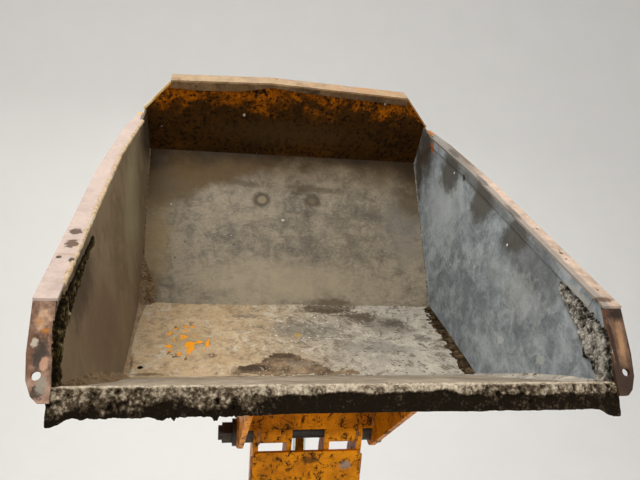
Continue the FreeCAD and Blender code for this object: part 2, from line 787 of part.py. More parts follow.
def make_pivot():
    cross_ring("pivot_pin", "pin_radius", None, "-pin_left", "pin_left + pin_right", PIVOT)
    outside = "gusset_half + gusset_thick"
    inside = "arm_width / 2 + pin_clearance"
    pair("pivot_washers", [cross_ring("pivot_washer_" + side, "washer_radius", "pin_radius", inside,
                                      "gusset_half - (%s)" % inside, PIVOT, sign) for side, sign in SIDES])
    pair("pivot_collars", [cross_ring("pivot_collar_" + side, "collar_radius", "pin_radius", outside,
                                      "collar_thick", PIVOT, sign) for side, sign in SIDES])
    body = doc.addObject("PartDesign::Body", "pivot_nut")
    sketch = new_sketch(body, "pivot_nut_section", "YZ_Plane")
    reach = size("nut_across") / 2 / math.cos(math.radians(30))
    draw_outline(sketch, [along(60 * step, reach) for step in range(6)])
    pad(body, sketch, "nut_thick", backward=True)
    bore = new_sketch(body, "pivot_nut_thread", "YZ_Plane")
    draw_circle(bore, (0.0, 0.0), "pin_radius")
    pocket_through(body, bore)
    place_body(body, PIVOT)
    hold(body, "Placement.Base.x", "-(%s + collar_thick)" % outside)
    finish(body, "pivot_nut")
    heads = []
    for side, sign in SIDES:
        label = "rod_pin_head_" + side
        body = doc.addObject("PartDesign::Body", label)
        stem = new_sketch(body, label + "_stem", "YZ_Plane")
        draw_circle(stem, (0.0, 0.0), "ram_pin_radius")
        pad(body, stem, "ram_lug_thick + pin_head_thick", backward=sign < 0)
        cap = new_sketch(body, label + "_cap", "YZ_Plane")
        cap.AttachmentOffset = Placement(Vector(0, 0, sign * size("ram_lug_thick")), Rotation())
        draw_circle(cap, (0.0, 0.0), "pin_head_radius")
        pad(body, cap, "pin_head_thick", backward=sign < 0)
        place_body(body, ROD_EYE)
        hold(body, "Placement.Base.x", "%d * ram_lug_gap / 2" % sign)
        heads.append(finish(body, label))
    pair("rod_pin_heads", heads)


def make_rest_pads():
    rows = [  # name, radius, distance behind the back panel's inner face, thickness
        ("rest_pad_bosses", "pad_radius * 0.6", size("sheet_thick"), "pad_boss_thick"),
        ("rest_pads", "pad_radius", size("sheet_thick") + size("pad_boss_thick"), "pad_thick"),
    ]
    foot = along(size("back_slope"), size("pad_height"), CREASE_MID)
    for name, radius, depth, thick in rows:
        discs = []
        for side, sign in SIDES:
            label = "%s_%s" % (name, side)
            body = doc.addObject("PartDesign::Body", label)
            sketch = new_sketch(body, label + "_round", "XY_Plane")
            draw_circle(sketch, (0.0, 0.0), radius)
            pad(body, sketch, thick, backward=True)
            place_body(body, along(size("back_slope") - 90, depth, foot), size("back_slope"))
            hold(body, "Placement.Base.x", "%d * pad_half" % sign)
            discs.append(finish(body, label))
        pair(name, discs)


# Tip ram, each piece in the ram's own frame with z from its foot pin to its rod eye
def ram_turned(label, profile):
    """A piece turned on the ram's axis, from (radius, height) corners."""
    body = doc.addObject("PartDesign::Body", label)
    sketch = new_sketch(body, label + "_profile", "XZ_Plane")
    draw_outline(sketch, profile)
    turned = body.newObject("PartDesign::Revolution", label + "_turned")
    turned.Profile = sketch
    turned.ReferenceAxis = (sketch, ["V_Axis"])
    turned.Angle = 360
    place_body(body, RAM_FOOT, RAM_LEAN)
    return body


def make_ram():
    start = size("barrel_start")
    base = start + size("barrel_base_thick")
    end = BARREL_END
    wall = size("barrel_radius")
    bore = size("barrel_bore_radius")
    finish(ram_turned("tip_ram_barrel", [(0, start), (wall - 6, start), (wall, start + 6), (wall, end),
                                         (bore, end), (bore, base), (0, base)]), "tip_ram_barrel")
    ports = []
    for name, height in (("base", base + 24), ("rod", end - 24)):
        label = "tip_ram_port_" + name
        port = doc.addObject("PartDesign::Body", label)
        stub = new_sketch(port, label + "_stub", "XZ_Plane")
        draw_circle(stub, (0.0, height), "port_radius")
        pad(port, stub, "barrel_radius + port_floor", backward=True)
        ring = new_sketch(port, label + "_ring", "XZ_Plane")
        ring.AttachmentOffset = Placement(Vector(0, 0, -wall - size("port_floor")), Rotation())
        draw_circle(ring, (0.0, height), "port_radius")
        draw_circle(ring, (0.0, height), "port_bore_radius")
        pad(port, ring, "port_reach - port_floor", backward=True)
        seat = new_sketch(port, label + "_seat", "XY_Plane")
        draw_circle(seat, (0.0, 0.0), "barrel_radius")
        pocket_through(port, seat)
        place_body(port, RAM_FOOT, RAM_LEAN)
        ports.append(finish(port, label))
    pair("tip_ram_ports", ports)
    rod_bore = size("rod_radius") + size("pin_clearance")
    gland = size("gland_radius")
    top = end + size("gland_length")
    finish(ram_turned("tip_ram_gland", [(rod_bore, end), (gland, end), (gland, top - 5), (gland - 5, top),
                                        (rod_bore, top)]), "tip_ram_gland")
    ring = size("foot_eye_ring")
    eye = doc.addObject("PartDesign::Body", "tip_ram_foot_eye")
    round_sketch = new_sketch(eye, "foot_eye_round", "YZ_Plane")
    draw_circle(round_sketch, (0.0, 0.0), "foot_eye_ring")
    pad(eye, round_sketch, "ram_eye_width", middle=True)
    neck = new_sketch(eye, "foot_eye_neck", "YZ_Plane")
    half = ring * 0.9
    draw_outline(neck, [(-half, ring * 0.4), (half, ring * 0.4), (half, start), (-half, start)])
    pad(eye, neck, "ram_eye_width", middle=True)
    hole = new_sketch(eye, "foot_eye_bore", "YZ_Plane")
    draw_circle(hole, (0.0, 0.0), "ram_pin_radius + pin_clearance")
    pocket_through(eye, hole)
    place_body(eye, RAM_FOOT, RAM_LEAN)
    finish(eye, "tip_ram_foot_eye")
    shaft = size("rod_radius")
    tail = end - size("rod_inside")
    seat = size("rod_eye_radius") * 0.8
    eye_low = RAM_LENGTH - seat
    finish(ram_turned("tip_ram_rod", [(0, tail), (shaft - 2, tail), (shaft, tail + 2),
                                      (shaft, eye_low), (0, eye_low)]), "tip_ram_rod")
    ring_body = doc.addObject("PartDesign::Body", "tip_ram_rod_eye")
    ring_sketch = new_sketch(ring_body, "rod_eye_round", "YZ_Plane")
    draw_circle(ring_sketch, (0.0, 0.0), "rod_eye_radius")
    pad(ring_body, ring_sketch, "ram_eye_width", middle=True)
    socket = new_sketch(ring_body, "rod_eye_socket", "XY_Plane")
    socket.AttachmentOffset = Placement(Vector(0, 0, -seat), Rotation())
    draw_circle(socket, (0.0, 0.0), "rod_radius")
    cut = ring_body.newObject("PartDesign::Pocket", "rod_eye_seat")
    cut.Profile = socket
    cut.Type = 1
    hole = new_sketch(ring_body, "rod_eye_bore", "YZ_Plane")
    draw_circle(hole, (0.0, 0.0), "ram_pin_radius")
    pocket_through(ring_body, hole)
    place_body(ring_body, ROD_EYE, RAM_LEAN)
    finish(ring_body, "tip_ram_rod_eye")
    pin = doc.addObject("PartDesign::Body", "tip_ram_rod_pin")
    pin_sketch = new_sketch(pin, "rod_pin_section", "YZ_Plane")
    draw_circle(pin_sketch, (0.0, 0.0), "ram_pin_radius")
    pad(pin, pin_sketch, "ram_lug_gap - 2 * pin_clearance", middle=True)
    place_body(pin, ROD_EYE)
    finish(pin, "tip_ram_rod_pin")


make_arm_sides()
make_arm_front()
make_arm_inside()
make_arm_foot()
make_arm_lugs()
make_skip_sheet()
make_skip_sides()
make_skip_rims()
make_guard_edges()
make_ears()
make_lip_bar()
make_carrier()
make_pivot()
make_rest_pads()
make_ram()

doc.recompute()
for item in doc.Objects:
    if "Invalid" in item.State or "Error" in item.State:
        raise RuntimeError("%s failed: %s" % (item.Label, item.State))
for node in NODES:
    if node.Shape.isNull() or not node.Shape.isValid() or node.Shape.Volume <= 0:
        raise RuntimeError("%s has no sound shape" % node.Label)
for node in NODES:
    node.Shape.exportStep("parts/%s.step" % node.Label)
volume = sum(node.Shape.Volume for node in NODES)
print("%d nodes, %.0f cm3 of solid, pivot at y %.2f z %.2f" % (len(NODES), volume / 1000, PIVOT[0], PIVOT[1]))
print("ram length %.2f, lean %.3f, foot y %.2f z %.2f, rod eye y %.2f z %.2f"
      % (RAM_LENGTH, RAM_LEAN, RAM_FOOT[0], RAM_FOOT[1], ROD_EYE[0], ROD_EYE[1]))
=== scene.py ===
# Looks for a high-tip dumper skip: worn sheet, dried mortar, rust, welds and a plain studio.
# All lengths are metres in the part's own frame; pattern sizes are given in millimetres.
import math

import bpy
from bpy.props import FloatProperty, FloatVectorProperty, IntProperty, PointerProperty
from mathutils import Matrix, Vector, noise


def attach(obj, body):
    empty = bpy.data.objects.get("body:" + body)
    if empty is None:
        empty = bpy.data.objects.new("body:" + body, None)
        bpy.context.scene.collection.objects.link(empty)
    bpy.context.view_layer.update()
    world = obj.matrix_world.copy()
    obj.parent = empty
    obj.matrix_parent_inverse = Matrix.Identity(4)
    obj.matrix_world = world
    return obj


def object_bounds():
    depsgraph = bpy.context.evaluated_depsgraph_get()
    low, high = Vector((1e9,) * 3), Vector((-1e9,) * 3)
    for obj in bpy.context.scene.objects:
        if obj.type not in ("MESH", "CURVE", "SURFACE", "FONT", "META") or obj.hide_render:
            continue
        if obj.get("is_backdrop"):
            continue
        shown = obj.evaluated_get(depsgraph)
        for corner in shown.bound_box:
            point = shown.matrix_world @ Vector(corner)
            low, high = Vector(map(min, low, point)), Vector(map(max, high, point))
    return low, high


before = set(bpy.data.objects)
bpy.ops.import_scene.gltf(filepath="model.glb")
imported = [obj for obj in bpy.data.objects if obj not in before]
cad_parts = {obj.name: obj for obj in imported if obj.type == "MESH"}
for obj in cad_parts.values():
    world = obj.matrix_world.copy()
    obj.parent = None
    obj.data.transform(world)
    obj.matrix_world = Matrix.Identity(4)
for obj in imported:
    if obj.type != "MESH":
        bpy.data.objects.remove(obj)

bl_info = {
    "name": "Worn dumper skip",
    "version": (1, 1, 0),
    "blender": (4, 5, 0),
    "location": "View3D > Sidebar > Skip",
    "description": "Finishes, dried mortar and welds for a high-tip dumper skip",
    "category": "Object",
}

# The tip pin's middle, and the slopes of the skip's panels in the side view, in degrees
PIVOT = (-0.39905, 0.75051)
LIP_SLOPE = 2.5
FLOOR_SLOPE = 32.8
BACK_SLOPE = 79.15
GUARD_SLOPE = 136.6
RIM_SLOPE = 40.15
LIP_LENGTH, FLOOR_LENGTH, BACK_LENGTH, RIM_LENGTH = 0.522, 0.3915, 0.5415, 0.700
# A place inside the skip, which the inner faces of its sheets look at
INSIDE = Vector((0.0, PIVOT[0] + 0.10, PIVOT[1] + 0.45))


def along(angle, reach, start=(0.0, 0.0)):
    """The side-view point at a distance from another, up a slope in degrees."""
    turn = math.radians(angle)
    return (start[0] + reach * math.cos(turn), start[1] + reach * math.sin(turn))


# Folds of the skip in the side view, as (y, z), and half its inner width at each
CREASE_LOW = (PIVOT[0] - 0.003, PIVOT[1] + 0.130)
LIP_EDGE = along(180 + LIP_SLOPE, LIP_LENGTH, CREASE_LOW)
CREASE_MID = along(FLOOR_SLOPE, FLOOR_LENGTH, CREASE_LOW)
CREASE_TOP = along(BACK_SLOPE, BACK_LENGTH, CREASE_MID)
RIM_FRONT = (PIVOT[0] - 0.506, PIVOT[1] + 0.245)
RIM_FOLD = along(RIM_SLOPE, RIM_LENGTH, RIM_FRONT)
LOW_HALF, MID_HALF, TOP_HALF = 0.441, 0.448, 0.455
FRONT_HALF, FOLD_HALF = 0.490, 0.487
SHEET = 0.006
# The drain hole's middle in the floor, from the tip pin
DRAIN_HOLE = (-0.407, 0.032, 0.153)


def rel(x, y, z):
    """A place given from the tip pin's middle, as a place in the part's frame."""
    return (x, PIVOT[0] + y, PIVOT[1] + z)


def wall_half(y, z):
    """The inner half width of the main side facet at a side-view place."""
    first = Vector((FRONT_HALF, *RIM_FRONT))
    second = Vector((FOLD_HALF, *RIM_FOLD))
    third = Vector((LOW_HALF, *CREASE_LOW))
    normal = (second - first).cross(third - first)
    return first.x - (normal.y * (y - first.y) + normal.z * (z - first.z)) / normal.x


def step_up(value, low, high):
    """0 below the low value, 1 above the high one and smooth between; high may be the smaller."""
    share = min(1.0, max(0.0, (value - low) / (high - low)))
    return share * share * (3 - 2 * share)


# Colours and node helpers
def paint(code):
    """A colour from its sRGB hex code, as linear red, green, blue and alpha."""
    channels = [int(code[i:i + 2], 16) / 255 for i in (0, 2, 4)]
    return tuple(c / 12.92 if c <= 0.04045 else ((c + 0.055) / 1.055) ** 2.4 for c in channels) + (1.0,)


def size_mm(length):
    """The texture scale at which a pattern's features measure so many millimetres."""
    return 1000.0 / length


def add(tree, kind, inputs=None, **settings):
    """A new node with its settings made, and its inputs set or linked by name or number.

    An input is a value, a socket or a node, whose first output in use is then linked.
    """
    node = tree.nodes.new(kind)
    for name, value in settings.items():
        setattr(node, name, value)
    for key, value in (inputs or {}).items():
        if isinstance(value, bpy.types.Node):
            value = next(socket for socket in value.outputs if socket.enabled)
        if isinstance(value, bpy.types.NodeSocket):
            tree.links.new(value, node.inputs[key])
        else:
            node.inputs[key].default_value = value
    return node


def set_stops(node, *stops):
    """Give a colour ramp its row of (place, hex code) stops."""
    row = node.color_ramp.elements
    while len(row) < len(stops):
        row.new(0.5)
    for element, (place, code) in zip(row, stops):
        element.position = place
        element.color = paint(code)
    return node


def mixed(tree, *pairs):
    """A weighted sum of (value, weight) pairs."""
    total = None
    for value, weight in pairs:
        share = add(tree, "ShaderNodeMath", {0: value, 1: weight}, operation="MULTIPLY")
        total = share if total is None else add(tree, "ShaderNodeMath", {0: total, 1: share}, operation="ADD")
    return total


def grains(tree, where, *sizes):
    """Soft patterns over one another, each as (millimetres of a feature, detail, roughness, distortion)."""
    return [add(tree, "ShaderNodeTexNoise", {"Vector": where, "Scale": size_mm(millimetres), "Detail": detail,
                                             "Roughness": roughness, "Distortion": distortion})
            for millimetres, detail, roughness, distortion in sizes]


def blots(tree, where, grain, low, high):
    """A mask of ragged blots, from a pattern as grains takes it; a wide step gives them a soft edge."""
    return add(tree, "ShaderNodeMapRange", {"Value": grains(tree, where, grain)[0], "From Min": low, "From Max": high},
               interpolation_type="SMOOTHSTEP")


def cover(tree, colour, mask, strength, above):
    """A colour with another laid over it where a mask shows, at a strength."""
    share = add(tree, "ShaderNodeMath", {0: mask, 1: strength}, operation="MULTIPLY")
    return add(tree, "ShaderNodeMix", {0: share, 6: colour, 7: above}, data_type="RGBA")


def drift(tree, value, low, high, first, second):
    """A colour that goes from a first to a second one while a value goes from low to high."""
    share = add(tree, "ShaderNodeMapRange", {"Value": value, "From Min": low, "From Max": high},
                interpolation_type="SMOOTHSTEP")
    return add(tree, "ShaderNodeMix", {0: share, 6: first, 7: second}, data_type="RGBA")


def shaded(tree, colour, value, low, high, darkest, palest):
    """A colour made darker and paler while a value goes from low to high."""
    level = add(tree, "ShaderNodeMapRange", {"Value": value, "From Min": low, "From Max": high, "To Min": darkest,
                                             "To Max": palest}, interpolation_type="SMOOTHSTEP")
    return add(tree, "ShaderNodeMix", {0: 1.0, 6: colour, 7: level}, data_type="RGBA", blend_type="MULTIPLY")


def scratches(tree, where, turn, long_mm, wide_mm, low, high):
    """Long fine marks that run one way: turn takes the Y axis to their direction, in degrees about X, Y and Z."""
    drawn = add(tree, "ShaderNodeMapping", {
        "Vector": where, "Rotation": tuple(math.radians(a) for a in turn),
        "Scale": (wide_mm / 1000, long_mm / 1000, wide_mm / 1000)}, vector_type="TEXTURE")
    marks = add(tree, "ShaderNodeTexNoise", {"Vector": drawn, "Scale": 1.0, "Detail": 3.0, "Roughness": 0.55})
    return add(tree, "ShaderNodeMapRange", {"Value": marks, "From Min": low, "From Max": high},
               interpolation_type="SMOOTHSTEP")


def specks(tree, where, cell_mm, share, smallest, largest):
    """Round specks in a share of the cells of a size, as a mask; their radii are parts of a cell."""
    cells = add(tree, "ShaderNodeTexVoronoi", {"Vector": where, "Scale": size_mm(cell_mm)})
    chance = add(tree, "ShaderNodeSeparateColor", {0: cells.outputs["Color"]})
    empty = add(tree, "ShaderNodeMath", {0: 1.0, 1: share}, operation="SUBTRACT")
    wanted = add(tree, "ShaderNodeMath", {0: chance, 1: empty}, operation="GREATER_THAN")
    radius = add(tree, "ShaderNodeMapRange", {"Value": chance.outputs[1], "To Min": smallest, "To Max": largest},
                 interpolation_type="SMOOTHSTEP")
    reach = add(tree, "ShaderNodeMath", {0: wanted, 1: radius}, operation="MULTIPLY")
    inside = add(tree, "ShaderNodeMath", {0: reach, 1: cells}, operation="SUBTRACT")
    return add(tree, "ShaderNodeMapRange", {"Value": inside, "From Max": smallest * 0.7},
               interpolation_type="SMOOTHSTEP")


def beyond(tree, where, direction, level, soft, ragged=0.0, grain_mm=40):
    """A mask of the side of a plane, at a level along a direction, with a ragged soft edge."""
    reach = add(tree, "ShaderNodeVectorMath", {0: where, 1: direction}, operation="DOT_PRODUCT")
    if ragged:
        wave = add(tree, "ShaderNodeMath", {0: grains(tree, where, (grain_mm, 6.0, 0.65, 0.0))[0], 1: 0.5},
                   operation="SUBTRACT")
        wave = add(tree, "ShaderNodeMath", {0: wave, 1: ragged}, operation="MULTIPLY")
        reach = add(tree, "ShaderNodeMath", {0: reach, 1: wave}, operation="ADD")
    return add(tree, "ShaderNodeMapRange", {"Value": reach, "From Min": level - soft, "From Max": level + soft},
               interpolation_type="SMOOTHSTEP")


def new_group(name, inputs, outputs, kind="ShaderNodeTree"):
    """An empty node group with named sockets, and the sockets that its inputs come in by."""
    tree = bpy.data.node_groups.new(name, kind)
    for label, socket_kind, *default in inputs:
        socket = tree.interface.new_socket(label, in_out="INPUT", socket_type="NodeSocket" + socket_kind)
        if default:
            socket.default_value = default[0]
    for label, socket_kind in outputs:
        tree.interface.new_socket(label, in_out="OUTPUT", socket_type="NodeSocket" + socket_kind)
    return tree, add(tree, "NodeGroupInput").outputs[:len(inputs)]


def patch_group():
    """A group that gives a soft-edged, ragged patch at a place, as a mask."""
    tree, (where, centre, turn, reach, ragged, soft, grain) = new_group(
        "Ragged patch",
        [("Where", "Vector"), ("Centre", "Vector"), ("Turn", "Vector"), ("Reach", "Vector"), ("Raggedness", "Float"),
         ("Softness", "Float"), ("Grain", "Float")],
        [("Mask", "Float")])
    away = add(tree, "ShaderNodeMapping", {"Vector": where, "Location": centre, "Rotation": turn, "Scale": reach},
               vector_type="TEXTURE")
    length = add(tree, "ShaderNodeVectorMath", {0: away}, operation="LENGTH")
    wave = add(tree, "ShaderNodeTexNoise", {"Vector": where, "Scale": grain, "Detail": 6.0, "Roughness": 0.65})
    wave = add(tree, "ShaderNodeMath", {0: wave, 1: 0.5}, operation="SUBTRACT")
    wobble = add(tree, "ShaderNodeMath", {0: wave, 1: ragged}, operation="MULTIPLY")
    edge = add(tree, "ShaderNodeMath", {0: length, 1: wobble}, operation="ADD")
    core = add(tree, "ShaderNodeMath", {0: 1.0, 1: soft}, operation="SUBTRACT")
    mask = add(tree, "ShaderNodeMapRange", {"Value": edge, "From Min": 1.0, "From Max": core},
               interpolation_type="SMOOTHSTEP")
    add(tree, "NodeGroupOutput", {"Mask": mask})
    return tree


def worn_group():
    """A group for old sheet steel: rubbed ground, dusty clouds, stains, pale specks, dark pits and relief."""
    tree, (where, ground, dust, stain, dust_share, stain_share, speck_share, pit_share, contrast) = new_group(
        "Worn sheet",
        [("Where", "Vector"), ("Ground", "Color"), ("Dust", "Color"), ("Stain", "Color"), ("Dust share", "Float"),
         ("Stain share", "Float"), ("Speck share", "Float"), ("Pit share", "Float"), ("Contrast", "Float")],
        [("Colour", "Color"), ("Roughness", "Float"), ("Height", "Float")])
    # Dust and mill scale are finer than a millimetre, and are drawn at 7 mm, as coarse as they need to be to show
    broad, middle, fine = grains(tree, where, (190, 4.0, 0.6, 0.3), (42, 7.0, 0.70, 0.5), (7, 4.0, 0.65, 0.0))
    # Stains and pits are read from another place, so that they don't follow the dust
    elsewhere = add(tree, "ShaderNodeMapping", {"Vector": where, "Location": (3.1, 1.7, 2.3),
                                                "Rotation": (0.6, 0.3, 0.9)})
    masks = []
    for pattern, share, bare, low, high in (
            (mixed(tree, (broad, 0.5), (middle, 0.5)), dust_share, 0.68, -0.10, 0.10),
            (grains(tree, elsewhere, (80, 8.0, 0.72, 0.6))[0], stain_share, 0.74, -0.04, 0.09)):
        drop = add(tree, "ShaderNodeMath", {0: share, 1: 0.36}, operation="MULTIPLY")
        level = add(tree, "ShaderNodeMath", {0: bare, 1: drop}, operation="SUBTRACT")
        above = add(tree, "ShaderNodeMath", {0: pattern, 1: level}, operation="SUBTRACT")
        masks.append(add(tree, "ShaderNodeMapRange", {"Value": above, "From Min": low, "From Max": high},
                         interpolation_type="SMOOTHSTEP"))
    dusty, stained = masks
    colour = add(tree, "ShaderNodeMix", {0: dusty, 6: ground, 7: dust}, data_type="RGBA")
    colour = cover(tree, colour, stained, 0.75, stain)
    darkest = add(tree, "ShaderNodeMath", {0: 1.0, 1: contrast}, operation="SUBTRACT")
    palest = add(tree, "ShaderNodeMath", {0: 1.0, 1: contrast}, operation="ADD")
    colour = shaded(tree, colour, mixed(tree, (middle, 0.5), (fine, 0.5)), 0.36, 0.64, darkest, palest)
    pale = specks(tree, where, 26, speck_share, 0.05, 0.13)
    colour = cover(tree, colour, pale, 0.8, paint("cfc8bb"))
    dark = specks(tree, elsewhere, 22, pit_share, 0.06, 0.16)
    colour = cover(tree, colour, dark, 0.8, paint("1e1813"))
    rough = add(tree, "ShaderNodeMapRange", {"Value": mixed(tree, (dusty, 1.0), (stained, 1.0)), "From Max": 1.4,
                                             "To Min": 0.50, "To Max": 0.86}, interpolation_type="SMOOTHSTEP")
    height = mixed(tree, (middle, 0.9), (fine, 0.35), (pale, 0.5), (dark, -0.8))
    add(tree, "NodeGroupOutput", {"Colour": colour, "Roughness": rough, "Height": height})
    return tree


# Node groups and materials, by name, once they are made
GROUPS = {}
MADE = {}


def start_material(name):
    """A new material's tree, and its coordinates on the object."""
    material = bpy.data.materials.new(name)
    material.use_nodes = True
    tree = material.node_tree
    tree.nodes.clear()
    MADE[name] = material
    return tree, add(tree, "ShaderNodeTexCoord").outputs["Object"]


def end_material(tree, colour, rough, metal=0.0, height=None, depth_mm=0.6, gloss=0.5):
    """The surface itself: its colour, roughness, metal, relief and gloss. Chalky dust has little gloss."""
    skin = {"Base Color": colour, "Roughness": rough, "Metallic": metal, "Specular IOR Level": gloss}
    if height is not None:
        skin["Normal"] = add(tree, "ShaderNodeBump", {"Height": height, "Distance": depth_mm / 1000, "Strength": 0.9})
    add(tree, "ShaderNodeOutputMaterial", {"Surface": add(tree, "ShaderNodeBsdfPrincipled", skin)})


def worn(tree, where, ground, dust, stain, dusty, stained, specked, pitted, contrast):
    """The colour, roughness and height of the worn sheet group with its colours and shares."""
    return add(tree, "ShaderNodeGroup", {
        "Where": where, "Ground": paint(ground), "Dust": paint(dust), "Stain": paint(stain), "Dust share": dusty,
        "Stain share": stained, "Speck share": specked, "Pit share": pitted, "Contrast": contrast,
    }, node_tree=GROUPS["worn"]).outputs[:3]


def patch(tree, where, centre, reach, ragged, soft, grain_mm, turn=(0, 0, 0)):
    """A ragged patch's mask. The centre is a place from the tip pin, and turn is in degrees."""
    return add(tree, "ShaderNodeGroup", {
        "Where": where, "Centre": rel(*centre), "Turn": tuple(math.radians(a) for a in turn), "Reach": reach,
        "Raggedness": ragged, "Softness": soft, "Grain": size_mm(grain_mm),
    }, node_tree=GROUPS["patch"])


def patches(tree, where, colour, rows):
    """Ragged patches laid over a colour.

    Each row is (hex colour, strength, centre from the tip pin, reach, raggedness, softness, grain in mm) and may end
    in a turn.
    """
    for code, strength, *shape in rows:
        colour = cover(tree, colour, patch(tree, where, *shape), strength, paint(code))
    return colour


